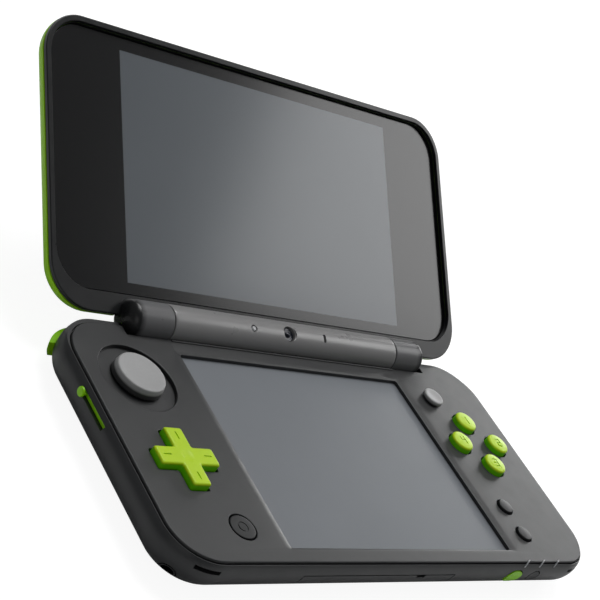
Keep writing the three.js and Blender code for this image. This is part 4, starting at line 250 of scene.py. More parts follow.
def softened(corners: np.ndarray, rounds: int = 3) -> np.ndarray:
    """An open line with its corners cut again and again at a quarter of each side, its ends kept."""
    line = np.asarray(corners, dtype=float)
    for _ in range(rounds):
        near = line[:-1] * 0.75 + line[1:] * 0.25
        far = line[:-1] * 0.25 + line[1:] * 0.75
        line = np.concatenate([line[:1], np.stack([near, far], axis=1).reshape(-1, 2)[1:-1], line[-1:]])
    return line


class Job(Enum):
    """What one surface does to another."""

    CUT = "DIFFERENCE"
    ADD = "UNION"
    KEEP = "INTERSECT"


def raw_object(name: str, skin: Skin) -> bpy.types.Object:
    """Puts a surface into the scene as an object at the origin, in metres."""
    mesh = bpy.data.meshes.new(name)
    mesh.from_pydata((skin.points * MM).tolist(), [], skin.faces)
    mesh.update()
    thing = bpy.data.objects.new(name, mesh)
    bpy.context.scene.collection.objects.link(thing)
    return thing


def worked(stock: Skin, *jobs: tuple[Job, Skin]) -> Skin:
    """Works a surface with others in turn, through Blender's Boolean modifier.

    Args:
        stock: The surface to start from.
        jobs: Pairs of a job and the surface that does it.

    Returns:
        The worked surface.
    """
    base = raw_object("stock", stock)
    helpers = []
    for job, skin in jobs:
        helper = raw_object("helper", skin)
        step = base.modifiers.new("work", "BOOLEAN")
        step.solver = "MANIFOLD"
        step.operation = job.value
        step.object = helper
        helpers.append(helper)
    bpy.context.view_layer.update()
    mesh = bpy.data.meshes.new_from_object(base.evaluated_get(bpy.context.evaluated_depsgraph_get()))
    points = np.empty(len(mesh.vertices) * 3)
    mesh.vertices.foreach_get("co", points)
    faces = [list(face.vertices) for face in mesh.polygons]
    for thing in [base, *helpers]:
        spare = thing.data
        bpy.data.objects.remove(thing)
        bpy.data.meshes.remove(spare)
    bpy.data.meshes.remove(mesh)
    if not faces:
        raise ValueError("a worked surface came out empty")
    return Skin(points.reshape(-1, 3) / MM, faces)


def carved(stock: Skin, *tools: Skin) -> Skin:
    """The stock less every tool."""
    return worked(stock, *[(Job.CUT, tool) for tool in tools])


def fused(stock: Skin, *others: Skin) -> Skin:
    """The stock joined with every other surface."""
    return worked(stock, *[(Job.ADD, other) for other in others])


def kept(stock: Skin, within: Skin) -> Skin:
    """The part of the stock that lies within another surface."""
    return worked(stock, (Job.KEEP, within))


# Finishes


def srgb(red: float, green: float, blue: float) -> Colour:
    """Turns a colour read as 0 to 255 into the linear values that a shader takes."""
    share = np.array([red, green, blue]) / 255
    linear = np.where(share <= 0.04045, share / 12.92, ((share + 0.055) / 1.055) ** 2.4)
    return tuple(float(value) for value in linear)


class Bench:
    """The node tree of one material, with short ways to add and join its nodes."""

    def __init__(self, name: str) -> None:
        """Starts a material that holds a shader and its output.

        Args:
            name: Name of the material.
        """
        self.material = bpy.data.materials.new(name)
        self.material.use_nodes = True
        self.tree = self.material.node_tree
        self.tree.nodes.clear()
        self.shader = self.add("ShaderNodeBsdfPrincipled")
        self.output = self.add("ShaderNodeOutputMaterial")
        self.link(self.shader.outputs["BSDF"], self.output.inputs["Surface"])
        self.place = self.add("ShaderNodeTexCoord").outputs["Object"]

    def add(self, kind: str, **settings: object) -> bpy.types.Node:
        """Adds a node and sets its own settings."""
        node = self.tree.nodes.new(kind)
        for key, value in settings.items():
            setattr(node, key, value)
        return node

    def link(self, start: bpy.types.NodeSocket, end: bpy.types.NodeSocket) -> None:
        """Joins an output to an input."""
        self.tree.links.new(start, end)

    def noise(self, size: float, detail: float = 3.0, stretch: Colour = (1.0, 1.0, 1.0),
              place: bpy.types.NodeSocket | None = None) -> bpy.types.NodeSocket:
        """Noise whose blobs are about size millimetres wide.

        Args:
            size: Width of a blob in millimetres.
            detail: Octaves.
            stretch: How much longer a blob is along each axis.
            place: Coordinates to use instead of the object's.

        Returns:
            The noise value, from 0 to 1.
        """
        spread = self.add("ShaderNodeMapping")
        spread.inputs["Scale"].default_value = [1 / value for value in stretch]
        self.link(place or self.place, spread.inputs["Vector"])
        node = self.add("ShaderNodeTexNoise")
        node.inputs["Scale"].default_value = 1 / (size * MM)
        node.inputs["Detail"].default_value = detail
        self.link(spread.outputs["Vector"], node.inputs["Vector"])
        return node.outputs["Fac"]

    def spread(self, value: bpy.types.NodeSocket, low: float, high: float,
               from_low: float = 0.3, from_high: float = 0.7) -> bpy.types.NodeSocket:
        """Maps a value from one range to another.

        Args:
            value: The value to map.
            low: Result at the lower end.
            high: Result at the upper end.
            from_low: Lower end of the given range.
            from_high: Upper end of the given range.

        Returns:
            The mapped value.
        """
        node = self.add("ShaderNodeMapRange")
        node.inputs["From Min"].default_value = from_low
        node.inputs["From Max"].default_value = from_high
        node.inputs["To Min"].default_value = low
        node.inputs["To Max"].default_value = high
        self.link(value, node.inputs["Value"])
        return node.outputs["Result"]

    def sums(self, kind: str, first: bpy.types.NodeSocket | float,
             second: bpy.types.NodeSocket | float) -> bpy.types.NodeSocket:
        """Works one sum on two values.

        Args:
            kind: Name of the sum, as Blender's Math node has it.
            first: First value.
            second: Second value.

        Returns:
            The result.
        """
        node = self.add("ShaderNodeMath", operation=kind)
        for socket, value in zip(node.inputs, (first, second)):
            if isinstance(value, (int, float)):
                socket.default_value = value
            else:
                self.link(value, socket)
        return node.outputs["Value"]

    def blend(self, share: bpy.types.NodeSocket, first: Colour | bpy.types.NodeSocket,
              second: Colour | bpy.types.NodeSocket) -> bpy.types.NodeSocket:
        """Blends two colours.

        Args:
            share: Share of the second colour.
            first: First colour.
            second: Second colour.

        Returns:
            The blended colour.
        """
        node = self.add("ShaderNodeMix", data_type="RGBA")
        self.link(share, node.inputs["Factor"])
        for socket, value in ((node.inputs[6], first), (node.inputs[7], second)):
            if isinstance(value, tuple):
                socket.default_value = (*value, 1.0)
            else:
                self.link(value, socket)
        return node.outputs[2]

    def bump(self, height: bpy.types.NodeSocket, depth: float, strength: float,
             under: bpy.types.NodeSocket | None = None) -> bpy.types.NodeSocket:
        """Turns a height into a tilt of the surface.

        Args:
            height: Height from 0 to 1.
            depth: Height of a full step in millimetres.
            strength: Share of the effect.
            under: A tilt to build on.

        Returns:
            The tilted normal.
        """
        node = self.add("ShaderNodeBump")
        node.inputs["Distance"].default_value = depth * MM
        node.inputs["Strength"].default_value = strength
        self.link(height, node.inputs["Height"])
        if under:
            self.link(under, node.inputs["Normal"])
        return node.outputs["Normal"]

    def set(self, **values: float | Colour | bpy.types.NodeSocket) -> None:
        """Sets or links inputs of the shader, named with underscores for spaces."""
        for key, value in values.items():
            socket = self.shader.inputs[key.replace("_", " ")]
            if isinstance(value, bpy.types.NodeSocket):
                self.link(value, socket)
            elif isinstance(value, tuple):
                socket.default_value = (*value, 1.0)
            else:
                socket.default_value = value


class Finish:
    """A kind of surface, from which one material or more are made."""

    def lay(self, bench: Bench) -> None:
        """Lays the nodes of this surface on the material's bench."""
        raise NotImplementedError

    def made(self, name: str) -> bpy.types.Material:
        """Makes the material.

        Args:
            name: Name of the material.

        Returns:
            The finished material.
        """
        bench = Bench(name)
        self.lay(bench)
        return bench.material


@dataclass(frozen=True)
class PaintedSideShade:
    """Painted shade: the colour that a moulding's sides take under a height in millimetres, standing in for
    their look in shade.
    """

    colour: Colour
    height: float
    blur: float = 0.25


@dataclass(frozen=True)
class Bar:
    """The colour of a round bar along X that is part of a moulding, with its place in millimetres; beyond its
    half length the moulding keeps its own dark colour, which on the knuckles' domed ends is painted shade.
    """

    colour: Colour
    y: float
    z: float
    radius: float
    half: float


@dataclass(frozen=True)
class Moulded(Finish):
    """Moulded plastic or rubber: a colour that drifts a little, and the fine grain of its mould."""

    colour: Colour
    roughness: float = 0.5
    drift: float = 0.06
    grain: float = 0.22
    depth: float = 0.01
    strength: float = 0.35
    gloss: float = 0.5
    coat: float = 0.0
    coat_roughness: float = 0.1
    soft: float = 0.0
    wave: float = 0.03
    side_shade: PaintedSideShade | None = None
    bar: Bar | None = None

    def tinted(self, bench: Bench, surface: bpy.types.NodeSocket) -> bpy.types.NodeSocket:
        """Lays the painted side shade and the colour of the bar over the surface's own.

        Args:
            bench: The material's bench.
            surface: The colour so far.

        Returns:
            The colour with both laid over it.
        """
        if self.side_shade is None and self.bar is None:
            return surface
        parts = bench.add("ShaderNodeSeparateXYZ")
        bench.link(bench.place, parts.inputs[0])
        # Painted shade: below the given height the sides take the colour given for their shaded look.
        if self.side_shade is not None:
            low, high = self.side_shade.height - self.side_shade.blur, self.side_shade.height + self.side_shade.blur
            above = bench.spread(parts.outputs["Z"], 0.0, 1.0, low * MM, high * MM)
            surface = bench.blend(above, self.side_shade.colour, surface)
        if self.bar is not None:
            out = bench.sums("SUBTRACT", parts.outputs["Y"], self.bar.y * MM)
            over = bench.sums("SUBTRACT", parts.outputs["Z"], self.bar.z * MM)
            square = bench.sums("ADD", bench.sums("MULTIPLY", out, out), bench.sums("MULTIPLY", over, over))
            away = bench.sums("POWER", square, 0.5)
            near = bench.spread(away, 1.0, 0.0, (self.bar.radius + 0.1) * MM, (self.bar.radius + 0.3) * MM)
            along = bench.sums("ABSOLUTE", parts.outputs["X"], 0.0)
            # Painted shade: the tint stops short of the knuckles' domed ends, which stay near black as if in
            # shade.
            between = bench.spread(along, 1.0, 0.0, (self.bar.half - 1) * MM, (self.bar.half + 1) * MM)
            surface = bench.blend(bench.sums("MULTIPLY", near, between), surface, self.bar.colour)
        return surface

    def lay(self, bench: Bench) -> None:
        """Lays the nodes of this surface on the material's bench."""
        broad = bench.noise(14.0, 2.0)
        speck = bench.noise(self.grain * 2.4, 2.0)
        light = tuple(min(value * (1 + self.drift), 1.0) for value in self.colour)
        dark = tuple(value * (1 - self.drift) for value in self.colour)
        share = bench.sums("ADD", bench.sums("MULTIPLY", broad, 0.6), bench.sums("MULTIPLY", speck, 0.4))
        bench.set(Base_Color=self.tinted(bench, bench.blend(bench.spread(share, 0.0, 1.0), dark, light)))
        bench.set(Roughness=bench.spread(bench.noise(5.0, 4.0), self.roughness - 0.03, self.roughness + 0.03))
        fine = bench.noise(self.grain, 3.0)
        wave = bench.bump(broad, self.wave, 0.25)
        bench.set(Normal=bench.bump(fine, self.depth, self.strength, wave))
        bench.set(Specular_IOR_Level=self.gloss, Coat_Weight=self.coat,
                  Coat_Roughness=self.coat_roughness, Sheen_Weight=self.soft, Sheen_Roughness=0.5)


@dataclass(frozen=True)
class Steel(Finish):
    """Pressed or turned steel: a pale metal drawn out in one direction."""

    colour: Colour = (0.52, 0.53, 0.55)
    roughness: float = 0.3
    along: Colour = (12.0, 1.0, 1.0)

    def lay(self, bench: Bench) -> None:
        """Lays the nodes of this surface on the material's bench."""
        lines = bench.noise(0.35, 4.0, self.along)
        cloud = bench.noise(6.0, 3.0)
        dark = tuple(value * 0.86 for value in self.colour)
        bench.set(Base_Color=bench.blend(bench.spread(cloud, 0.0, 1.0), dark, self.colour))
        bench.set(Roughness=bench.spread(lines, self.roughness - 0.07, self.roughness + 0.09))
        bench.set(Normal=bench.bump(lines, 0.006, 0.4), Metallic=1.0)


@dataclass(frozen=True)
class DarkPane(Finish):
    """A glossy pane over a display: a black border round a grey picture area that is switched off.

    The picture area is bounded on the pane's own UV map, which holds millimetres across and up.
    """

    picture: Colour
    border: Colour
    half_width: float
    low: float
    high: float
    roughness: float = 0.35
    coat_roughness: float = 0.04

    def lay(self, bench: Bench) -> None:
        """Lays the nodes of this surface on the material's bench."""
        across = bench.add("ShaderNodeSeparateXYZ")
        bench.link(bench.add("ShaderNodeUVMap", uv_map="face").outputs["UV"], across.inputs[0])
        side = bench.sums("SUBTRACT", self.half_width, bench.sums("ABSOLUTE", across.outputs["X"], 0.0))
        under = bench.sums("SUBTRACT", across.outputs["Y"], self.low)
        over = bench.sums("SUBTRACT", self.high, across.outputs["Y"])
        inside = bench.sums("MINIMUM", side, bench.sums("MINIMUM", under, over))
        share = bench.spread(inside, 0.0, 1.0, -0.06, 0.06)
        cloud = bench.spread(bench.noise(30.0, 2.0), 0.0, 1.0)
        lively = bench.blend(cloud, tuple(value * 0.95 for value in self.picture), self.picture)
        cells = bench.add("ShaderNodeTexWave", bands_direction="X")
        cells.inputs["Scale"].default_value = 1 / (0.27 * MM) / WAVE_TURN
        bench.link(bench.place, cells.inputs["Vector"])
        lined = bench.blend(bench.spread(cells.outputs["Fac"], 0.0, 0.015, 0.0, 1.0), lively, (0.0, 0.0, 0.0))
        bench.set(Base_Color=bench.blend(share, self.border, lined))
        bench.set(Roughness=bench.spread(bench.noise(8.0, 3.0), self.roughness - 0.02, self.roughness + 0.02))
        bench.set(Coat_Weight=1.0, Coat_Roughness=self.coat_roughness, Specular_IOR_Level=0.04)


@dataclass(frozen=True)
class LensGlass(Finish):
    """A small dark lens: near black, with a painted blue reflection towards grazing angles, under a thin
    coat.
    """

    colour: Colour = (0.004, 0.005, 0.009)

    def lay(self, bench: Bench) -> None:
        """Lays the nodes of this surface on the material's bench."""
        weight = bench.add("ShaderNodeLayerWeight")
        weight.inputs["Blend"].default_value = 0.35
        # Painted reflection: the colour turns faintly blue towards grazing angles, standing in for the lens
        # coating's reflection.
        bench.set(Base_Color=bench.blend(weight.outputs["Facing"], self.colour, (0.012, 0.018, 0.05)))
        bench.set(Roughness=bench.spread(bench.noise(0.6, 3.0), 0.14, 0.19))
        bench.set(Coat_Weight=0.35, Coat_Roughness=0.1, Specular_IOR_Level=0.25)


@dataclass(frozen=True)
class CircuitBoard(Finish):
    """A green board: solder mask over traces, which show as slightly raised paler lines."""

    mask: Colour = (0.008, 0.075, 0.03)
    trace: Colour = (0.02, 0.13, 0.05)

    def lay(self, bench: Bench) -> None:
        """Lays the nodes of this surface on the material's bench."""
        bricks = bench.add("ShaderNodeTexBrick", offset=0.37, squash=0.6)
        bricks.inputs["Scale"].default_value = 140.0
        bricks.inputs["Mortar Size"].default_value = 0.09
        bricks.inputs["Color1"].default_value = (0, 0, 0, 1)
        bricks.inputs["Color2"].default_value = (0.12, 0.12, 0.12, 1)
        bricks.inputs["Mortar"].default_value = (1, 1, 1, 1)
        bench.link(bench.place, bricks.inputs["Vector"])
        bench.set(Base_Color=bench.blend(bricks.outputs["Color"], self.mask, self.trace))
        bench.set(Roughness=bench.spread(bench.noise(2.0, 3.0), 0.28, 0.4))
        bench.set(Normal=bench.bump(bricks.outputs["Color"], 0.03, 0.6))


@dataclass(frozen=True)
class Woven(Finish):
    """A fine steel mesh over the microphone: two crossing sets of wires."""

    colour: Colour = (0.2, 0.2, 0.21)
    pitch: float = 0.18

    def lay(self, bench: Bench) -> None:
        """Lays the nodes of this surface on the material's bench."""
        waves = []
        for way in ("X", "Y"):
            wave = bench.add("ShaderNodeTexWave", bands_direction=way)
            wave.inputs["Scale"].default_value = 1 / (self.pitch * MM) / WAVE_TURN
            bench.link(bench.place, wave.inputs["Vector"])
            waves.append(wave.outputs["Fac"])
        weave = bench.sums("MAXIMUM", waves[0], waves[1])
        bench.set(Base_Color=bench.blend(weave, (0.004, 0.004, 0.004), self.colour))
        bench.set(Normal=bench.bump(weave, 0.05, 0.8), Metallic=0.8)
        bench.set(Roughness=bench.spread(weave, 0.35, 0.5, 0.0, 1.0))


FINISHES: dict[str, Finish] = {
    "shell_plastic": Moulded(srgb(44, 45, 46), 0.4, grain=0.2, depth=0.008, gloss=0.4),
    "cover_plastic": Moulded(srgb(38, 39, 40), 0.4, grain=0.26, depth=0.012, gloss=0.42),
    # The knuckles take a grey of their own, and their domed ends keep the frame's near black as painted
    # shade.
    "frame_plastic": Moulded(srgb(24, 25, 26), 0.3, grain=0.2, depth=0.004, gloss=0.42,
                             bar=Bar(srgb(106, 106, 107), HINGE_Y, HINGE_Z, BARREL_RADIUS, half=54.0)),
    "barrel_plastic": Moulded(srgb(134, 133, 133), 0.3, drift=0.015, depth=0.002, gloss=0.8, wave=0.003),
    "lid_green": Moulded(srgb(142, 200, 22), 0.36, grain=0.2, depth=0.005, gloss=0.15, coat=0.03),
    "panel_black": Moulded(srgb(30, 31, 33), 0.22, grain=0.3, depth=0.004, coat=0.6, coat_roughness=0.08),
    # Painted shade: the key sides below 13.15 mm take a deeper green that stands in for their shade.
    "button_green": Moulded(srgb(194, 230, 18), 0.38, drift=0.03, grain=0.2, depth=0.003, gloss=0.3,
                            coat=0.04, wave=0.006, side_shade=PaintedSideShade(srgb(124, 236, 4), 13.15)),
    "trim_green": Moulded(srgb(138, 206, 12), 0.36, drift=0.05, grain=0.2, depth=0.004, gloss=0.25,
                          coat=0.06),
    # Painted shade: the sides of the pad and stick caps below 12.7 mm are dark grey, standing in for their
    # shade.
    "pad_grey": Moulded(srgb(168, 168, 168), 0.5, grain=0.3, depth=0.012, soft=0.1, gloss=0.35,
                        side_shade=PaintedSideShade(srgb(50, 50, 51), 12.7, 0.3)),
    "button_dark": Moulded(srgb(30, 31, 32), 0.4, grain=0.18, depth=0.005, gloss=0.25),
    "touch_film": DarkPane(srgb(128, 132, 137), srgb(8, 8, 9), half_width=43.1, low=-34.6, high=30.4,
                           roughness=0.42, coat_roughness=0.2),
    "screen_glass": DarkPane(srgb(101, 106, 111), srgb(3, 3, 4), half_width=53.1, low=10.09, high=73.81,
                             roughness=0.38, coat_roughness=0.17),
    "display_upper": Moulded(srgb(40, 42, 46), 0.25, grain=0.4, depth=0.003),
    "display_lower": Moulded(srgb(96, 100, 106), 0.25, grain=0.4, depth=0.003),
    "board_green": CircuitBoard(),
    "battery_wrap": Moulded(srgb(74, 77, 84), 0.45, grain=0.6, depth=0.02),
    "socket_steel": Steel(),
    "jack_dark": Moulded(srgb(22, 22, 24), 0.3, grain=0.2, depth=0.004),
    "speaker_dark": Moulded(srgb(30, 30, 32), 0.55, grain=0.3, depth=0.02),
    "sheet_rubber": Moulded(srgb(120, 122, 126), 0.7, grain=0.3, depth=0.02, soft=0.2),
    "light_clear": Moulded(srgb(178, 180, 182), 0.3, grain=0.2, depth=0.004, coat=0.3),
    "mechanism_dark": Moulded(srgb(28, 28, 30), 0.4, grain=0.2, depth=0.006),
    "bare_steel": Steel(roughness=0.24, along=(1.0, 8.0, 1.0)),
    "foot_rubber": Moulded(srgb(24, 24, 26), 0.75, grain=0.35, depth=0.03, soft=0.2, gloss=0.3),
    "lens_glass": LensGlass(),
    "mic_mesh": Woven(),
}


# Assembly


@dataclass
class Workshop:
    """Turns surfaces into pieces of the scene and gives every piece and frame node its finish."""

    materials: dict[str, bpy.types.Material] = field(default_factory=dict)

    def finish(self, slot: str) -> bpy.types.Material:
        """The material of a slot, made when it is first asked for."""
        if slot not in self.materials:
            self.materials[slot] = FINISHES[slot].made(slot)
        return self.materials[slot]

    def piece(self, name: str, skin: Skin, slot: str, body: str, *nodes: str, sharp: float = 33.0,
              soften: float = 0.0) -> bpy.types.Object:
        """Makes one finished piece that stands for nodes of the frame.

        Args:
            name: Name of the piece.
            skin: Its closed surface.
            slot: Material slot that it takes its finish from.
            body: Body that it rides on.
            nodes: Nodes that it replaces.
            sharp: Angle in degrees past which an edge stays sharp.
            soften: Width of a fine round on its sharp edges.

        Returns:
            The piece.
        """
        thing = raw_object(name, skin)
        mesh = thing.data
        mesh.polygons.foreach_set("use_smooth", np.ones(len(mesh.polygons), dtype=bool))
        mesh.set_sharp_from_angle(angle=math.radians(sharp))
        mesh.materials.append(self.finish(slot))
        if soften > 0:
            edge = thing.modifiers.new("edge", "BEVEL")
            edge.width = soften * MM
            edge.segments = 2
            edge.limit_method = "ANGLE"
            edge.angle_limit = math.radians(sharp)
            edge.harden_normals = True
        even = thing.modifiers.new("even", "WEIGHTED_NORMAL")
        even.keep_sharp = True
        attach(thing, body)
        if nodes:
            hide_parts(*nodes)
        LOG.info("piece %s: %d faces on %s", name, len(mesh.polygons), body)
        return thing

    def dress(self, node: str, slot: str) -> None:
        """Gives a node that stays in view its finish."""
        mesh = frame["nodes"][node].data
        if not mesh.materials:
            mesh.materials.append(None)
        for index in range(len(mesh.materials)):
            mesh.materials[index] = self.finish(slot)


# Sub-assemblies


@dataclass
class Base:
    """The base: its shell, the cover over it, and the sizes that the other sub-assemblies share."""

    width: float = 160.0
    depth: float = 79.2
    height: float = 12.0
    corner: float = 14.0
    wall_curve: float = 8.3
    top_curve: float = 3.851
    back_curve: float = 5.0
    wall: float = 1.4
    shell_top: float = 11.35
    cover_inset: float = 2.0
    cover_inset_front: float = 1.1
    cover_thickness: float = 1.5
    hinge_y: float = HINGE_Y
    hinge_z: float = HINGE_Z
    trough_radius: float = 5.6
    trough_half: float = 58.0
    barrel_half: float = 43.3
    stylus_x: float = 44.8
    stylus_z: float = 6.4
    pad: tuple[float, float] = (-62.2, 18.9)
    cross: tuple[float, float] = (-62.2, -8.1)
    home: tuple[float, float] = (-55.1, -28.2)
    stick: tuple[float, float] = (53.0, 22.9)
    face: tuple[float, float] = (60.4, 5.1)
    spread: float = 8.3
    start: tuple[float, float] = (52.7, -18.85)
    select: tuple[float, float] = (52.7, -28.75)
    lights: tuple[float, float, float] = (47.2, 54.0, 60.8)
    light_gap: float = 0.12
    window: tuple[float, float] = (42.48, 31.86)
    window_y: float = -2.1
    volume_slot: tuple[float, ...] = (-81, -78.3, 2.5, 15.8, 8.8, 10.3)
    volume_pocket: tuple[float, ...] = (-79.1, -71.7, -7.8, 26.4, 8.65, 10.35)
    speaker_turn: tuple[float, float] = (238, 267)
    speaker_band: tuple[float, float] = (8.65, 9.75)
    shoulder_band: tuple[float, float] = (2.2, 6.4)
    trigger_band: tuple[float, float] = (2.2, 5.9)
    door_span: tuple[float, float] = (-39.0, 17.0)
    door_band: tuple[float, float] = (2.0, 8.0)
    power_at: tuple[float, float] = (52.4, 7.0)
    port_x: float = 14.0
    jack_turn: float = 221.0
    jack_z: float = 3.2
    screws: tuple[tuple[float, float], ...] = ((-52, -28.0), (-52, 26.9), (52, -28.0), (52, 26.9))
    feet: tuple[tuple[float, float], ...] = ((-64, -27.5), (-64, 27.5), (64, -27.5), (64, 27.5))

    def face_places(self) -> list[tuple[float, float]]:
        """Centres of the four face buttons: back, right, front and left."""
        return [(self.face[0] + dx * self.spread, self.face[1] + dy * self.spread)
                for dx, dy in ((0, 1), (1, 0), (0, -1), (-1, 0))]

    def inset(self, grow: float, height: float) -> float:
        """How far the side wall, offset by grow, stands in: a quarter round with a flatter curve over it."""
        low = height < self.wall_curve
        radius = self.wall_curve if low else self.top_curve
        return radius - math.sqrt(max((radius + grow) ** 2 - (height - self.wall_curve) ** 2, 0))

    def hull(self, grow: float, top: float, steps: int = 12) -> Skin:
        """The tub of the base: round walls that curve in from their widest line both ways.

        At each angle the lower wall is at the radius less (radius + grow) times the cosine in height. The
        front wall leans in less than the sides over the widest line, and the back wall has a smaller radius.

        Args:
            grow: Offset outwards, or inwards when negative.
            top: Height of the upper edge.
            steps: Chords up the curve.

        Returns:
            The closed tub.
        """
        turn = np.linspace(0, np.pi / 2, steps + 1)
        ledge = self.height - self.cover_thickness if grow < 0 else min(self.shell_top, top)
        heights = [*(self.wall_curve - (self.wall_curve + grow) * np.cos(turn)),
                   *np.linspace(self.wall_curve, ledge, 9)[1:]]
        outlines = []
        for height in heights:
            side = self.inset(grow, height)
            front = side - 0.6 * self.inset(0, max(height, self.wall_curve))
            drop = max(self.back_curve - height, 0)
            curve = self.back_curve - math.sqrt(max((self.back_curve + grow) ** 2 - drop ** 2, 0))
            back = min(side, curve + side * 0.25)
            half_y = self.depth / 2 - (front + back) / 2
            outline = rounded(self.width / 2 - side, half_y, self.corner - side, 24)
            outlines.append(outline + np.array([0, (front - back) / 2]))
        if top > ledge:
            outlines.append(outlines[-1])
            heights.append(top)
        return stacked(outlines, heights)

    def cover_line(self, inset: float) -> np.ndarray:
        """The cover's outline, drawn in by an inset."""
        half_y = self.depth / 2 - (self.cover_inset + self.cover_inset_front) / 2
        outline = rounded(self.width / 2 - self.cover_inset - inset, half_y - inset,
                          self.corner - self.cover_inset - inset, 24)
        return outline + np.array([0, (self.cover_inset_front - self.cover_inset) / 2])

    def light_mark(self, x: float, gap: float) -> Skin:
        """One light mark: a thin bar that goes up behind the wall and slants over the front edge."""
        g = gap
        section = np.array([(-37.8 + g, 12.05 + 4 * g), (-38.5 - g, 12.05 + 4 * g),
                            (-39.1 - 6 * g, 11.35 + 4 * g), (-39.36 - 6 * g, 10.65 - g),
                            (-38.3 - g, 10.65 - g), (-38.3 - g, 9.5 - g), (-36.2 + g, 9.5 - g),
                            (-36.2 + g, 10.25 + g), (-37.8 + g, 10.25 + g)])
        bar = stacked([section, section], [x - 0.3 - g, x + 0.3 + g]).laid()
        slant, pivot_y = 1.5, -38.0
        bar.points[:, 0] += slant * (bar.points[:, 1] - pivot_y)
        return bar

    def trough(self, radius: float, half: float) -> Skin:
        """A bar along X on the hinge axis."""
        return rod(radius, -half, half, 96).about_y(90).moved(
            0, self.hinge_y, self.hinge_z)

    def stylus_head(self, gap: float, y0: float, y1: float) -> Skin:
        """The rounded bar of the stylus's head between two depths, grown by a gap."""
        outline = rounded(2.9 + gap, 2.5 + gap, 2.3 + gap, 12)
        return stacked([outline, outline], [0, y1 - y0]).about_x(90).moved(
            self.stylus_x - 1.4, y1, self.stylus_z + 0.5)

    def shoulder_space(self, side: int, gap: float, swing: float) -> Skin:
        """The block that bounds one shoulder button."""
        near, far = 60.4 - swing, self.width / 2 + 2.1
        low, high = sorted((side * near, side * far))
        foot, top = self.shoulder_band
        return block(low, high, 34.2 - gap, self.depth / 2 + 2.1, foot - gap, top + gap)

    def trigger_space(self, side: int, gap: float) -> Skin:
        """The block that bounds one trigger button."""
        low, high = sorted((side * (46.0 - gap), side * (56.6 + gap)))
        foot, top = self.trigger_band
        return block(low, high, self.depth / 2 - self.wall_curve, self.depth / 2 + 1.9, foot - gap, top + gap)

    def door_space(self, gap: float) -> Skin:
        """The block that bounds the card door."""
        (left, right), (foot, top) = self.door_span, self.door_band
        return block(left - gap, right + gap, -self.depth / 2 - 1, -self.depth / 2 + self.wall_curve,
                     foot - gap, top + gap)

    def on_jack(self, skin: Skin, out: float) -> Skin:
        """Lays a surface built along -Y on the headphone socket's axis across the front-left corner."""
        angle = math.radians(self.jack_turn)
        x = -(self.width / 2 - self.corner) + out * math.cos(angle)
        y = -(self.depth / 2 - self.corner) + out * math.sin(angle)
        return skin.about_z(self.jack_turn + 90).moved(x, y, self.jack_z)

    def jack_mouth(self) -> float:
        """Distance from the corner's centre to the wall at the socket's height."""
        return self.corner - self.inset(0, self.jack_z)

    def speaker_slot(self, side: int) -> Skin:
        """A curved band round one front corner, as tall as a speaker slot, with round ends."""
        angle = np.radians(np.linspace(*self.speaker_turn, 17))
        outer = np.stack([np.cos(angle), np.sin(angle)], axis=1)
        pairs = np.concatenate([outer * (self.corner + 1), outer[::-1] * (self.corner - self.wall - 1)])
        middle = np.array([self.width / 2 - self.corner, self.depth / 2 - self.corner])
        placed = np.stack([side * (middle[0] - pairs[:, 0]), pairs[:, 1] - middle[1]], axis=1)
        return stacked([placed if side < 0 else placed[::-1]] * 2, self.speaker_band)

    def shell(self) -> Skin:
        """The bottom shell with every opening in its walls."""
        front = -self.depth / 2
        back = self.depth / 2
        upper = self.height - self.cover_thickness - 0.3
        rear = block(-self.width / 2, self.width / 2, 0, back, 0, upper)
        trough_wall = kept(kept(self.trough(self.trough_radius + 1.2, self.trough_half + 1.2),
                                self.hull(-self.wall / 2, self.shell_top)), rear)
        curve = softened(np.array([(back - 3, 0), (back - 2.2, 0), (back + 1.7, 1.7), (back + 3.6, 4.4),
                                   (back + 2.3, 7.6), (back - 3, 7.6)]), 3)
        fairing = stacked([curve, curve], [-self.barrel_half + GAP, self.barrel_half - GAP]).laid()
        channel = block(self.stylus_x - 2.9, self.stylus_x + 2.9, -4.9, 19.1, 0.7, self.stylus_z)
        bosses = [peg(*screw, 0.7, 5.7, 2.5) for screw in self.screws]
        body = worked(self.hull(0, self.shell_top, 14), (Job.CUT, self.hull(-self.wall, self.shell_top + 1)),
                      (Job.ADD, trough_wall), (Job.ADD, fairing), (Job.ADD, channel),
                      *[(Job.ADD, boss) for boss in bosses])
        bore = rod(2.2, 0, 60, 40).about_x(-90).moved(
            self.stylus_x, front - 1, self.stylus_z)
        tools = [self.trough(self.trough_radius, self.trough_half), self.door_space(GAP), bore,
                 self.stylus_head(GAP, front - 1, front + 3.0),
                 stacked([self.cover_line(-GAP)] * 2,
                         [self.height - self.cover_thickness, self.shell_top + 1]),
                 block(*self.volume_slot), block(*self.volume_pocket),
                 rod(2.4, 0, 5.2, 40).about_x(-90).moved(self.power_at[0], front - 1, self.power_at[1]),
                 block(self.port_x - 4.7, self.port_x + 4.7, back - self.wall_curve, back + 5, 1.9, 5.9),
                 self.on_jack(fused(rod(2.4, -2.4, 6, 48).about_x(-90),
                                    block(-3.3, 3.3, 5.5, 11.3, -2.4, 2.4)), self.jack_mouth())]
        for side in (-1, 1):
            tools += [self.speaker_slot(side), self.shoulder_space(side, GAP, 0.9),
                      self.trigger_space(side, GAP)]
            near, far = sorted((side * 59.5, side * 73.8))
            tools.append(block(near, far, 33.3, 36, 1.9, 5.2))
        tools += [self.light_mark(x, self.light_gap) for x in self.lights]
        for screw in self.screws:
            tools += [peg(*screw, -1, 0.1, 2.4), peg(*screw, 0, 6.7, 1.2)]
        tools += [peg(*foot, -1, -0.4, 3.9) for foot in self.feet]
        return carved(body, *tools)

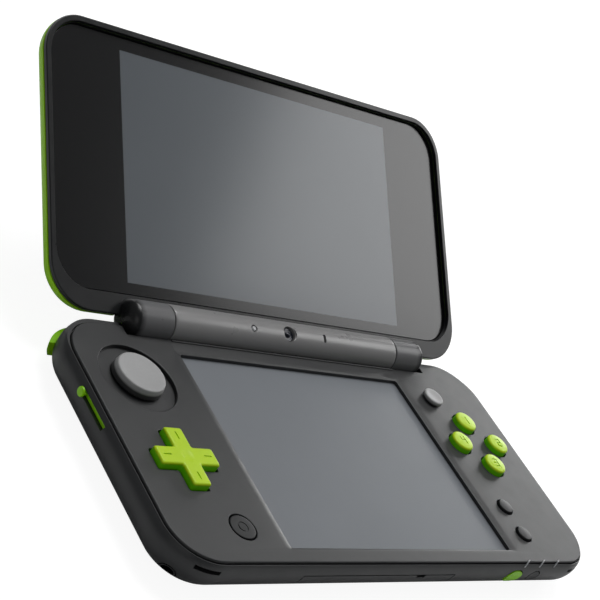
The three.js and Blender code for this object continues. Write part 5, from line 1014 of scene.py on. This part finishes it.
    def cover(self) -> Skin:
        """The top cover with soft-edged holes for the controls and the window's sloping sides."""
        edge = 0.35
        turn = np.linspace(0, np.pi / 2, 5)
        insets = [0.0, *(edge - edge * np.cos(turn))]
        heights = [self.height - self.cover_thickness, *(self.height - edge + edge * np.sin(turn))]
        plate = stacked([self.cover_line(inset) for inset in insets], heights)
        top, low = self.height, 9.0
        boss = peg(*self.pad, 10.1, 10.25, 12.65, steps=96)
        lip_back = self.hinge_y - math.sqrt(self.trough_radius ** 2 - (self.hinge_z - top) ** 2)
        lip_line = np.array([(lip_back - 0.7, top - 0.75), (lip_back, top - 0.75),
                             *arc((lip_back - 0.35, top), 0.35, 0, 180)])
        lip = stacked([lip_line, lip_line], [-self.barrel_half, self.barrel_half]).laid()
        body = fused(plate, boss, lip)
        tools = [self.trough(self.trough_radius, self.trough_half),
                 peg(*self.pad, 10.9, top, 11.15, 0.3, 96), peg(*self.pad, low, 10.9, 6.5, 0.2),
                 peg(*self.home, low, top, 3.95, 0.22), peg(*self.start, low, top, 2.75, 0.2),
                 peg(*self.select, low, top, 2.75, 0.2), peg(*self.stick, low, top, 2.0, 0.25)]
        tools += [peg(*place, low, top, 4.0, 0.22) for place in self.face_places()]
        lip_turn = np.linspace(0, np.pi / 2, 4)
        grows = [0.0, *(0.25 - 0.25 * np.cos(lip_turn)), 0.25]
        levels = [low, *(top - 0.25 + 0.25 * np.sin(lip_turn)), top + PAST]
        outlines = [square_cornered(cross_corners(9.4 + grow, 3.2 + grow), 0.7, 4) + np.array(self.cross)
                    for grow in grows]
        tools.append(stacked(outlines, levels))
        bevel = 0.5
        share = (bevel + PAST) / bevel
        middle = np.array([0, self.window_y])
        window = [rounded(self.window[0] + out_x, self.window[1] + out_y, 0.8, 6) + middle
                  for out_x, out_y in ((0, 0), (0, 0), (2.5 * share, 0.9 * share))]
        tools.append(stacked(window, [low, top - bevel, top + PAST]))
        tools += [self.light_mark(x, self.light_gap) for x in self.lights]
        return carved(body, *tools)

    def door(self) -> Skin:
        """The card door, a piece of the curved wall with a nail notch."""
        skin = carved(self.hull(0, self.shell_top, 14), self.hull(-self.wall, self.shell_top + 1, 14))
        front = -self.depth / 2
        notch = block(2.3, 5.5, front - 1, front + 0.7, 7.1, 9)
        return carved(kept(skin, self.door_space(0)), notch)

    def build(self, shop: Workshop) -> None:
        """Makes the base's casing.

        Args:
            shop: The workshop that finishes the pieces.
        """
        shop.piece("base_shell", self.shell(), "shell_plastic", "base", "bottom_shell")
        shop.piece("cover_plate", self.cover(), "cover_plastic", "base", "top_cover")
        shop.piece("card_flap", self.door(), "shell_plastic", "card_door", "card_door")
        film = [rounded(44.3 - inset, 33.7 - inset, 0.8, 6) + np.array([0, self.window_y])
                for inset in (0, 0, 0.12)]
        film = stacked(film, [9.9, 10.36, 10.48])
        paint_face(shop.piece("touch_film", film, "touch_film", "base", "touch_panel"), film.points[:, :2])
        marks = [self.light_mark(x, 0) for x in self.lights]
        guide = fused(block(47.6, 64.0, -36.8, -36.2, 9.5, 10.25), *marks)
        shop.piece("light_marks", guide, "light_clear", "base", "light_guide")


@dataclass
class Lid:
    """The lid, worked out in its own frame: X along the hinge, Y up the lid, Z towards the player."""

    base: Base
    tilt: float = 34.6
    half_width: float = 78.4
    height: float = 78.7
    low: float = 0.9
    face: float = -0.45
    thickness: float = 7.8
    corner: float = 12.0
    round: float = 6.0
    flange: float = 1.3
    barrel_radius: float = BARREL_RADIUS
    glass_y: float = 42.2
    camera_at: tuple[float, float] = (17.5, 66.0)

    def placed(self, skin: Skin) -> Skin:
        """Tilts a surface of the lid's frame and sets it on the hinge."""
        return skin.about_x(self.tilt).moved(0, self.base.hinge_y, self.base.hinge_z)

    def slab(self, insets: Sequence[float], heights: Sequence[float], steps: int = 24) -> Skin:
        """A slab of the lid's outline, drawn in by each inset at each height."""
        middle = np.array([0, self.low + self.height / 2])
        outlines = [rounded(self.half_width - inset, self.height / 2 - inset, self.corner - inset, steps)
                    + middle for inset in insets]
        return stacked(outlines, heights)

    def bar(self, radius: float, half: float) -> Skin:
        """A bar along X on the lid's axis."""
        return rod(radius, -half, half, 96).about_y(90)

    def pane_line(self, half_x: float, half_y: float, radius: float) -> np.ndarray:
        """A rounded outline about the middle of the glass."""
        return rounded(half_x, half_y, radius, 24) + np.array([0, self.glass_y])

    def camera_holes(self) -> list[Skin]:
        """The tools that cut the holes for the two outer cameras."""
        return [peg(side * self.camera_at[0], self.camera_at[1], -10, -6, 2.9) for side in (-1, 1)]

    def shell(self) -> Skin:
        """The green outer shell, open towards the frame, with a round back edge."""
        back = self.face - self.thickness + 0.2
        front = self.face - self.flange - GAP
        turn = np.linspace(0, np.pi / 2, 17)
        insets = self.round * (1 - np.sin(turn)) + 0.14 * np.sin(2 * turn)
        heights = front - self.round * np.cos(turn)
        outer = self.slab([*insets[:-1], 0.0, 0.12], [*heights[:-1], front - 0.15, front])
        floor = self.face - self.thickness + 0.65 + GAP + 0.75
        start = math.acos((front - floor) / self.round)
        turn = np.linspace(start, np.pi / 2, 9)
        hollow = self.slab([*(1.5 + self.round * (1 - np.sin(turn))), 1.5],
                           [*(front - self.round * np.cos(turn)), self.face])
        tools = [hollow, self.slab([6.9, 6.9], [back - 1, self.face - self.thickness + 0.95]),
                 self.bar(self.base.trough_radius, self.base.trough_half)]
        return carved(outer, *tools, *self.camera_holes())

    def panel(self) -> Skin:
        """The black panel in the lid's back."""
        back = self.face - self.thickness
        turn = np.linspace(0, np.pi / 2, 4)
        insets = [*(7.2 + 0.2 * (1 - np.sin(turn))), 7.2]
        heights = [*(back + 0.2 * (1 - np.cos(turn))), back + 0.65]
        return carved(self.slab(insets, heights), *self.camera_holes())

    def knuckle(self, side: int) -> Skin:
        """An end of the hinge: a round bar that ends in a dome."""
        start, reach = 43.6, 54.6
        radius = self.barrel_radius
        turn = np.linspace(0, np.pi / 2, 13)[1:-1]
        profile = [(0, start), *arc((radius - 0.3, start + 0.3), 0.3, -90, 0, 4), (radius, reach),
                   *paired(radius * np.cos(turn), reach + 3 * np.sin(turn)),
                   (0, reach + 3)]
        return turned(profile, 96).about_y(side * 90)

    def rim(self) -> Skin:
        """The frame round the screen with the two knuckles that carry it."""
        deep = self.face - 3.9
        turn = np.linspace(0, np.pi / 2, 5)
        insets = [0.12, 0.0, *(0.3 * (1 - np.cos(turn)))]
        heights = [self.face - self.flange, self.face - self.flange + 0.15,
                   *(self.face - 0.37 + 0.3 * np.sin(turn))]
        lip = np.linspace(0, np.pi / 2, 4)
        grows = [0.0, *(0.25 * (1 - np.cos(lip))), 0.25]
        levels = [self.face - self.flange, *(self.face - 0.25 + 0.25 * np.sin(lip)), self.face + 1]
        recess = stacked([self.pane_line(76.85 + grow, 35.8 + grow, 10.4 + grow) for grow in grows], levels)
        pocket = stacked([self.pane_line(76.6, 35.55, 10.15)] * 2, [deep + 1, self.face])
        window = block(-55.1, 55.1, 8.09, 75.81, self.face - self.thickness, self.face)
        under = self.face - self.flange + 0.4
        body = fused(self.slab(insets, heights), self.slab([2.26, 2.26], [deep, under]),
                     self.slab([1.66, 1.66], [self.face - 2.5, under]))
        body = carved(body, recess, pocket, window, self.bar(self.base.trough_radius, 43.6))
        body = fused(body, self.knuckle(-1), self.knuckle(1))
        bores = [rod(PIN_RADIUS, 43, 52.6, 32).about_y(side * 90) for side in (-1, 1)]
        return carved(body, *bores)

    def glass(self) -> Skin:
        """The pane over the upper display, with a fine round on its front edge."""
        front = self.face - 1.6
        turn = np.linspace(0, np.pi / 2, 4)
        insets = [0.0, *(0.12 * (1 - np.cos(turn)))]
        heights = [front - 1, *(front - 0.12 + 0.12 * np.sin(turn))]
        outlines = [self.pane_line(76.3 - inset, 35.25 - inset, 9.85 - inset) for inset in insets]
        return stacked(outlines, heights)

    def lens(self, side: int) -> Skin:
        """An outer camera: a stepped ring round a sunken lens, facing away from the player."""
        low = self.face - self.thickness + 0.1
        profile = [(0, low + 0.42), (0.7, low + 0.36), (1.2, low + 0.3), (1.25, low + 0.22), (1.6, low + 0.2),
                   (1.95, low + 0.05), (2.05, low), (2.45, low), (2.6, low + 0.14), (2.6, low + 1.2),
                   (0, low + 1.2)]
        return turned(profile, 64).moved(side * self.camera_at[0], self.camera_at[1])

    def build(self, shop: Workshop) -> None:
        """Makes the lid's pieces.

        Args:
            shop: The workshop that finishes the pieces.
        """
        shop.piece("lid_back", self.placed(self.shell()), "lid_green", "lid", "lid_shell")
        shop.piece("lid_inlay", self.placed(self.panel()), "panel_black", "lid", "lid_panel")
        shop.piece("screen_rim", self.placed(self.rim()), "frame_plastic", "lid", "lid_frame")
        flat = self.glass()
        pane = shop.piece("screen_pane", self.placed(flat), "screen_glass", "lid", "lid_glass")
        paint_face(pane, flat.points[:, :2])
        for side, name in ((-1, "outer_camera_left"), (1, "outer_camera_right")):
            shop.piece(name + "_lens", self.placed(self.lens(side)), "lens_glass", "lid", name)


def paint_face(thing: bpy.types.Object, places: np.ndarray) -> None:
    """Gives a piece the map that its picture area is bounded on.

    Args:
        thing: The piece.
        places: For each vertex, millimetres across and up its face.
    """
    mesh = thing.data
    corners = np.empty(len(mesh.loops), dtype=np.int32)
    mesh.loops.foreach_get("vertex_index", corners)
    layer = mesh.uv_layers.new(name="face")
    layer.data.foreach_set("uv", places[corners].astype(np.float32).ravel())


@dataclass
class Hinge:
    """The middle barrel of the hinge with its camera, light and microphone."""

    base: Base
    radius: float = BARREL_RADIUS
    turn: float = 26.0
    camera_x: float = -1.3
    light_x: float = -15.2
    microphone_x: float = 12.6

    def facing(self, skin: Skin, x: float) -> Skin:
        """Lays a surface built upwards in the barrel's middle, turned to face the player."""
        return skin.about_x(self.turn).moved(x)

    def placed(self, skin: Skin) -> Skin:
        """Sets a surface on the hinge axis."""
        return skin.moved(0, self.base.hinge_y, self.base.hinge_z)

    def barrel(self) -> Skin:
        """The barrel with its pockets and pin holes."""
        half, radius = self.base.barrel_half, self.radius
        rings = [(radius, x) for x in np.linspace(-half + 1, half - 1, 61).tolist()]
        profile = [(0, -half), *arc((radius - 0.3, -half + 0.3), 0.3, -90, 0, 4), *rings,
                   *arc((radius - 0.3, half - 0.3), 0.3, 0, 90, 4), (0, half)]
        body = turned(profile, 128).about_y(90)
        slot = rounded(0.5, 1.2, 0.3, 6)
        tools = [self.facing(peg(0, 0, radius - 2.6, radius - 0.28, 2.2, 0.3, 56), self.camera_x),
                 self.facing(peg(0, 0, radius - 1.7, radius - 0.1, 1.0, 0.12, 40), self.light_x),
                 self.facing(stacked([slot, slot], [radius - 2.2, radius + 1]), self.microphone_x)]
        for side in (-1, 1):
            tools.append(rod(PIN_RADIUS, 36, 44.3, 32).about_y(side * 90))
        return carved(body, *tools)

    def camera(self) -> Skin:
        """The inner camera: a ring round a small raised lens."""
        low = self.radius - 2.3
        profile = [(0, low), (1.9, low), (1.9, low + 1.15), *arc((1.8, low + 1.15), 0.1, 0, 90, 3),
                   (1.45, low + 1.25), (1.35, low + 1.1), (0.95, low + 1.1), (0.9, low + 1.3),
                   *arc((0.0, low + 0.35), 1.25, 45, 84, 6), (0, low + 1.6)]
        return self.facing(turned(profile, 56), self.camera_x)

    def light(self) -> Skin:
        """The signal light, a small dome."""
        low, rim = self.radius - 1.4, self.radius - 0.25
        profile = [(0, low), (0.7, low), (0.7, rim), *arc((0.45, rim), 0.25, 0, 90, 4), (0, self.radius)]
        return self.facing(turned(profile, 40), self.light_x)

    def build(self, shop: Workshop) -> None:
        """Makes the hinge's pieces.

        Args:
            shop: The workshop that finishes the pieces.
        """
        shop.piece("middle_barrel", self.placed(self.barrel()), "barrel_plastic", "base", "hinge_barrel")
        shop.piece("barrel_camera", self.placed(self.camera()), "lens_glass", "base", "inner_camera")
        shop.piece("barrel_light", self.placed(self.light()), "light_clear", "base", "camera_light")


class Digit(Enum):
    """Strokes of the plain digits, as shares of half the width and half the height."""

    ONE = ((0, -1, 0, 1),)
    TWO = ((-1, 1, 1, 1), (1, 0, 1, 1), (-1, 0, 1, 0), (-1, -1, -1, 0), (-1, -1, 1, -1))
    THREE = ((-1, 1, 1, 1), (1, -1, 1, 1), (-1, 0, 1, 0), (-1, -1, 1, -1))
    FOUR = ((-1, 0, -1, 1), (-1, 0, 1, 0), (1, -1, 1, 1))


@dataclass
class Controls:
    """The controls in the cover: circle pad, cross pad, stick, and the round buttons."""

    base: Base

    def button(self, radius: float, top: float, edge: float, crown: float) -> Skin:
        """A round key on its flange: straight sides, a round edge and a faintly crowned top."""
        low = 9.5
        turn = np.linspace(0, np.pi / 2, 7)
        profile = [(0, low), (radius + 0.75, low), (radius + 0.75, low + 0.7), (radius, low + 0.7),
                   *paired(radius - edge * (1 - np.cos(turn)), top - crown - edge * (1 - np.sin(turn))),
                   ((radius - edge) * 0.6, top - crown * 0.36), ((radius - edge) * 0.3, top - crown * 0.09),
                   (0, top)]
        return turned(profile, 80)

    def face_button(self, digit: Digit) -> Skin:
        """A face button with its digit engraved."""
        top, half_x, half_y, pen = 13.9, 0.75, 1.3, 0.16
        strokes = [block(x0 * half_x - pen, x1 * half_x + pen, y0 * half_y - pen, y1 * half_y + pen,
                         top - 0.32, top + 1) for x0, y0, x1, y1 in digit.value]
        return carved(self.button(3.65, top, 0.75, 0.1), fused(strokes[0], *strokes[1:])
                      if len(strokes) > 1 else strokes[0])

    def pad_cap(self) -> Skin:
        """The circle pad's cap: straight side, round rim and a wide dish."""
        low, top = 11.2, 14.0
        dish = np.linspace(1, 0, 9)[1:-1]
        profile = [(0, low), (6.85, low), *arc((6.85, low + 0.45), 0.45, -90, 0, 4), (6.85, top - 0.5),
                   *arc((6.35, top - 0.45), 0.45, 10, 100, 6),
                   *paired(5.9 * dish, top - 0.55 + 0.5 * dish ** 3), (0, top - 0.55)]
        bore = rod(1.8, low - 1, low + 1, 32)
        return carved(turned(profile, 96), bore)

    def cross_pad(self) -> Skin:
        """The cross pad: a round-edged cross with a centre dish and a dash on every arm."""
        top, edge = 13.8, 0.6
        turn = np.linspace(0, np.pi / 2, 6)
        insets = [0.0, *(edge * (1 - np.cos(turn)))]
        heights = [9.4, *(top - edge + edge * np.sin(turn))]
        cross = stacked([square_cornered(cross_corners(9.0 - inset, 2.75 - inset), 0.55 + 0.2 * inset, 5)
                         for inset in insets], heights)
        flange_line = square_cornered(cross_corners(9.9, 3.65), 0.4, 3)
        flange = stacked([flange_line, flange_line], [9.1, 9.7])
        stem = rod(1.4, 8.6, 9.4, 32)
        bowl = turned([(0, top - 0.2), (0.9, top - 0.17), (1.7, top - 0.08), (2.3, top + 0.02),
                       (2.4, top + 1), (0, top + 1)], 48)
        dash = rounded(1.2, 0.24, 0.22, 5)
        dashes = [stacked([dash, dash], [top - 0.25, top + 1]).moved(6.3).about_z(90 * quarter)
                  for quarter in range(4)]
        return carved(fused(cross, flange, stem), bowl, *dashes)

    def stick_cap(self) -> Skin:
        """The stick's grey cap: a small drum with a round edge and a dimpled top."""
        low, top = 12.3, 13.6
        profile = [(0, low), (3.15, low), *arc((3.15, low + 0.15), 0.15, -90, 0, 3),
                   *arc((2.85, top - 0.45), 0.45, 0, 90, 5), (2.3, top - 0.06), (1.4, top - 0.2),
                   (0, top - 0.25)]
        bore = rod(1.5, low - 1, low + 0.6, 32)
        return carved(turned(profile, 64), bore)

    def home_button(self) -> Skin:
        """The home button with a plain ring sunk in its top."""
        top = 12.1
        groove = rod(1.5, 0, 1, 48)
        core = rod(1.2, -1, 2, 48)
        ring = carved(groove, core).moved(0, 0, top - 0.14)
        return carved(self.button(3.6, top, 0.3, 0.02), ring)

    def build(self, shop: Workshop) -> None:
        """Makes the controls.

        Args:
            shop: The workshop that finishes the pieces.
        """
        base = self.base
        shop.piece("pad_disc", self.pad_cap().moved(*base.pad), "pad_grey", "circle_pad", "circle_pad_cap")
        shop.piece("cross_key", self.cross_pad().moved(*base.cross), "button_green", "cross_pad", "cross_pad")
        shop.piece("stick_top", self.stick_cap().moved(*base.stick), "pad_grey", "stick", "stick_cap")
        for number, (digit, place) in enumerate(zip(Digit, base.face_places()), start=1):
            node = f"face_button_{number}"
            shop.piece(node + "_key", self.face_button(digit).moved(*place), "button_green", node, node)
        for name, place in (("start_button", base.start), ("select_button", base.select)):
            key = self.button(2.4, 12.75, 0.3, 0.08).moved(*place)
            shop.piece(name + "_key", key, "button_dark", name, name)
        key = self.home_button().moved(*base.home)
        shop.piece("home_key", key, "button_dark", "home_button", "home_button")


@dataclass
class SideControls:
    """What is set in the walls: volume knob, power button, shoulder and trigger buttons, jack and stylus."""

    base: Base

    def volume(self) -> Skin:
        """The volume slider: a plate behind the slot and a small round knob outside it."""
        plate = block(-78.85, -78.05, 2.5, 26.0, 8.9, 10.2)
        neck = block(-80.35, -78.2, 13.6, 15.4, 9.25, 9.85)
        knob = turned([(0, -80.7), (0.95, -80.7), (1.2, -80.6), (1.3, -80.4), (1.3, -80.1), (0, -80.1)],
                      48).about_y(90).moved(0, 14.5, 9.55)
        return fused(plate, neck, knob)

    def power(self) -> Skin:
        """The power button, cut flush with the curved wall."""
        front = -self.base.depth / 2
        x, z = self.base.power_at
        plug = rod(2.1, 0, 5.4, 48).about_x(-90).moved(x, front - 1, z)
        flange = rod(2.8, 0, 1.4, 48).about_x(-90).moved(x, front + 3.7, z)
        return fused(kept(plug, self.base.hull(0, self.base.shell_top, 14)), flange)

    def shoulder(self, side: int) -> Skin:
        """A shoulder button, a proud piece of the wall round a back corner."""
        outer = self.base.hull(1.3, self.base.shell_top, 14)
        skin = carved(outer, self.base.hull(-1.9, self.base.shell_top + 1, 14))
        return kept(skin, self.base.shoulder_space(side, 0, 0))

    def trigger(self, side: int) -> Skin:
        """A trigger button, a proud piece of the back wall."""
        outer = self.base.hull(0.9, self.base.shell_top, 14)
        skin = carved(outer, self.base.hull(-2.6, self.base.shell_top + 1, 14))
        return kept(skin, self.base.trigger_space(side, 0))

    def jack(self) -> Skin:
        """The headphone socket, its mouth flush with the curved corner."""
        outline = np.array([(3, 2.1), (-3, 2.1), (-3, -2.1), (3, -2.1)])
        body = stacked([outline, outline], [5.8, 11]).about_x(-90)
        collar = rod(2.1, -1.4, 6.8, 48).about_x(-90)
        bore = rod(1.75, -2.4, 9.5, 40).about_x(-90)
        whole = self.base.on_jack(carved(fused(body, collar), bore), self.base.jack_mouth())
        return kept(whole, self.base.hull(0, self.base.shell_top, 14))

    def stylus(self) -> Skin:
        """The stylus: head with round edges, straight shaft and a tapered tip."""
        head = kept(self.base.stylus_head(0, -40.9, -36.9), self.base.hull(0.25, self.base.shell_top, 14))
        shaft = turned([(0, 2), (1.9, 2), (1.9, 50.7), (1.5, 54.0), (0.9, 57.0), (0.62, 57.5), (0.3, 57.7),
                        (0, 57.7)], 40).about_x(-90)
        shaft = shaft.moved(self.base.stylus_x, -self.base.depth / 2, self.base.stylus_z)
        return fused(head, shaft)

    def build(self, shop: Workshop) -> None:
        """Makes the pieces in the walls.

        Args:
            shop: The workshop that finishes the pieces.
        """
        shop.piece("volume_knob", self.volume(), "trim_green", "volume_slider", "volume_slider")
        shop.piece("power_key", self.power(), "button_dark", "power_button", "power_button")
        for side, word in ((-1, "left"), (1, "right")):
            node = f"shoulder_button_{word}"
            shop.piece(node + "_key", self.shoulder(side), "trim_green", node, node, soften=0.25)
            node = f"trigger_button_{word}"
            shop.piece(node + "_key", self.trigger(side), "trim_green", node, node, soften=0.25)
        shop.piece("jack_socket", self.jack(), "jack_dark", "base", "headphone_socket")
        shop.piece("stylus_pen", self.stylus(), "trim_green", "stylus", "stylus", soften=0.3)


@dataclass
class Studio:
    """The pale floor, the soft lights and the camera at the photograph's angle."""

    lens: float = 94.775
    place: tuple[float, float, float] = (-0.309641, -0.202035, 0.212559)
    rows: tuple[tuple[float, float, float], ...] = (
        (0.69644555, -0.45393459, 0.55579401), (0.11704592, -0.69228023, -0.71207326),
        (0.70799989, 0.56097368, -0.42900429))
    floor_z: float = -0.0004

    def camera(self) -> None:
        """Sets the camera: its X is the first row, its Y and Z are the other two turned round."""
        data = bpy.data.cameras.new("camera")
        data.lens, data.sensor_width, data.clip_start = self.lens, 36.0, 0.01
        thing = bpy.data.objects.new("camera", data)
        bpy.context.scene.collection.objects.link(thing)
        rows = np.array(self.rows) * np.array([[1], [-1], [-1]])
        pose = np.identity(4)
        pose[:3, :3] = rows.T
        pose[:3, 3] = self.place
        thing.matrix_world = Matrix(pose.tolist())
        bpy.context.scene.camera = thing

    def world(self) -> None:
        """Dim even light for the object, and white where the camera or glass sees past the floor."""
        world = bpy.data.worlds.new("studio_air")
        bpy.context.scene.world = world
        world.use_nodes = True
        tree = world.node_tree
        tree.nodes.clear()
        path = tree.nodes.new("ShaderNodeLightPath")
        seen = tree.nodes.new("ShaderNodeMath")
        seen.operation = "MAXIMUM"
        tree.links.new(path.outputs["Is Camera Ray"], seen.inputs[0])
        tree.links.new(path.outputs["Is Transmission Ray"], seen.inputs[1])
        air = tree.nodes.new("ShaderNodeBackground")
        air.inputs["Color"].default_value = (0.96, 0.98, 1.0, 1.0)
        air.inputs["Strength"].default_value = 0.15
        white = tree.nodes.new("ShaderNodeBackground")
        white.inputs["Color"].default_value = (1.0, 1.0, 1.0, 1.0)
        mix = tree.nodes.new("ShaderNodeMixShader")
        out = tree.nodes.new("ShaderNodeOutputWorld")
        tree.links.new(seen.outputs["Value"], mix.inputs["Fac"])
        tree.links.new(air.outputs["Background"], mix.inputs[1])
        tree.links.new(white.outputs["Background"], mix.inputs[2])
        tree.links.new(mix.outputs["Shader"], out.inputs["Surface"])

    def lamp(self, name: str, place: tuple[float, float, float], size: tuple[float, float],
             power: float) -> None:
        """Adds a soft rectangular lamp that faces the object.

        Args:
            name: Name of the lamp.
            place: Where it stands, in metres.
            size: Its width and height in metres.
            power: Its power in watts.
        """
        data = bpy.data.lights.new(name, "AREA")
        data.shape, data.size, data.size_y, data.energy = "RECTANGLE", size[0], size[1], power
        thing = bpy.data.objects.new(name, data)
        bpy.context.scene.collection.objects.link(thing)
        back = np.array(place) - np.array([0.0, 0.0, 0.03])
        back /= np.linalg.norm(back)
        side = np.cross([0.0, 0.0, 1.0], back)
        side /= np.linalg.norm(side)
        pose = np.identity(4)
        pose[:3, 0], pose[:3, 1], pose[:3, 2], pose[:3, 3] = side, np.cross(back, side), back, place
        thing.matrix_world = Matrix(pose.tolist())
        thing.visible_camera = False

    def floor(self) -> None:
        """The floor: a wide flat sheet, white to the camera, that still takes a soft shadow."""
        span = np.linspace(-4.0, 4.0, 41)
        x, y = np.meshgrid(span, span)
        z = np.full_like(x, self.floor_z)
        grid = np.arange(x.size).reshape(x.shape)
        quads = np.stack([grid[:-1, :-1], grid[:-1, 1:], grid[1:, 1:], grid[1:, :-1]], axis=-1).reshape(-1, 4)
        mesh = bpy.data.meshes.new("floor")
        mesh.from_pydata(np.stack([x, y, z], axis=-1).reshape(-1, 3).tolist(), [], quads.tolist())
        thing = bpy.data.objects.new("floor", mesh)
        bpy.context.scene.collection.objects.link(thing)
        bench = Bench("floor_paper")
        path = bench.add("ShaderNodeLightPath")
        glow = bench.add("ShaderNodeEmission")
        paper = bench.add("ShaderNodeBsdfDiffuse")
        paper.inputs["Color"].default_value = (0.9, 0.9, 0.9, 1.0)
        glow.inputs["Strength"].default_value = 1.27
        mix = bench.add("ShaderNodeMixShader")
        seen = bench.sums("MAXIMUM", path.outputs["Is Camera Ray"], path.outputs["Is Transmission Ray"])
        bench.link(bench.sums("MULTIPLY", seen, 0.72), mix.inputs["Fac"])
        bench.link(paper.outputs["BSDF"], mix.inputs[1])
        bench.link(glow.outputs["Emission"], mix.inputs[2])
        bench.link(mix.outputs["Shader"], bench.output.inputs["Surface"])
        mesh.materials.append(bench.material)

    def build(self) -> None:
        """Sets the whole stage."""
        self.camera()
        self.world()
        self.lamp("right_box", (0.86, 0.02, 0.68), (0.44, 0.4), 1.7)
        self.lamp("top_box", (0.3, 0.5, 1.15), (0.7, 0.7), 9.0)
        self.lamp("low_glow", (1.05, 0.5, 0.24), (0.4, 0.3), 2.6)
        self.lamp("left_fill", (-0.9, -0.7, 0.6), (0.8, 0.6), 0.8)
        self.floor()
        bpy.context.scene.view_settings.view_transform = "Standard"


def main() -> None:
    """Sets the stage, builds every sub-assembly in turn, and dresses the nodes that stay in view."""
    logging.basicConfig(level=logging.INFO, format="%(message)s")
    Studio().build()
    shop = Workshop()
    for part in frame["record"]["subparts"]:
        shop.dress(part["node"], part["material_slot"])
    base = Base()
    base.build(shop)
    Controls(base).build(shop)
    SideControls(base).build(shop)
    Hinge(base).build(shop)
    Lid(base).build(shop)


if __name__ == "__main__":
    main()
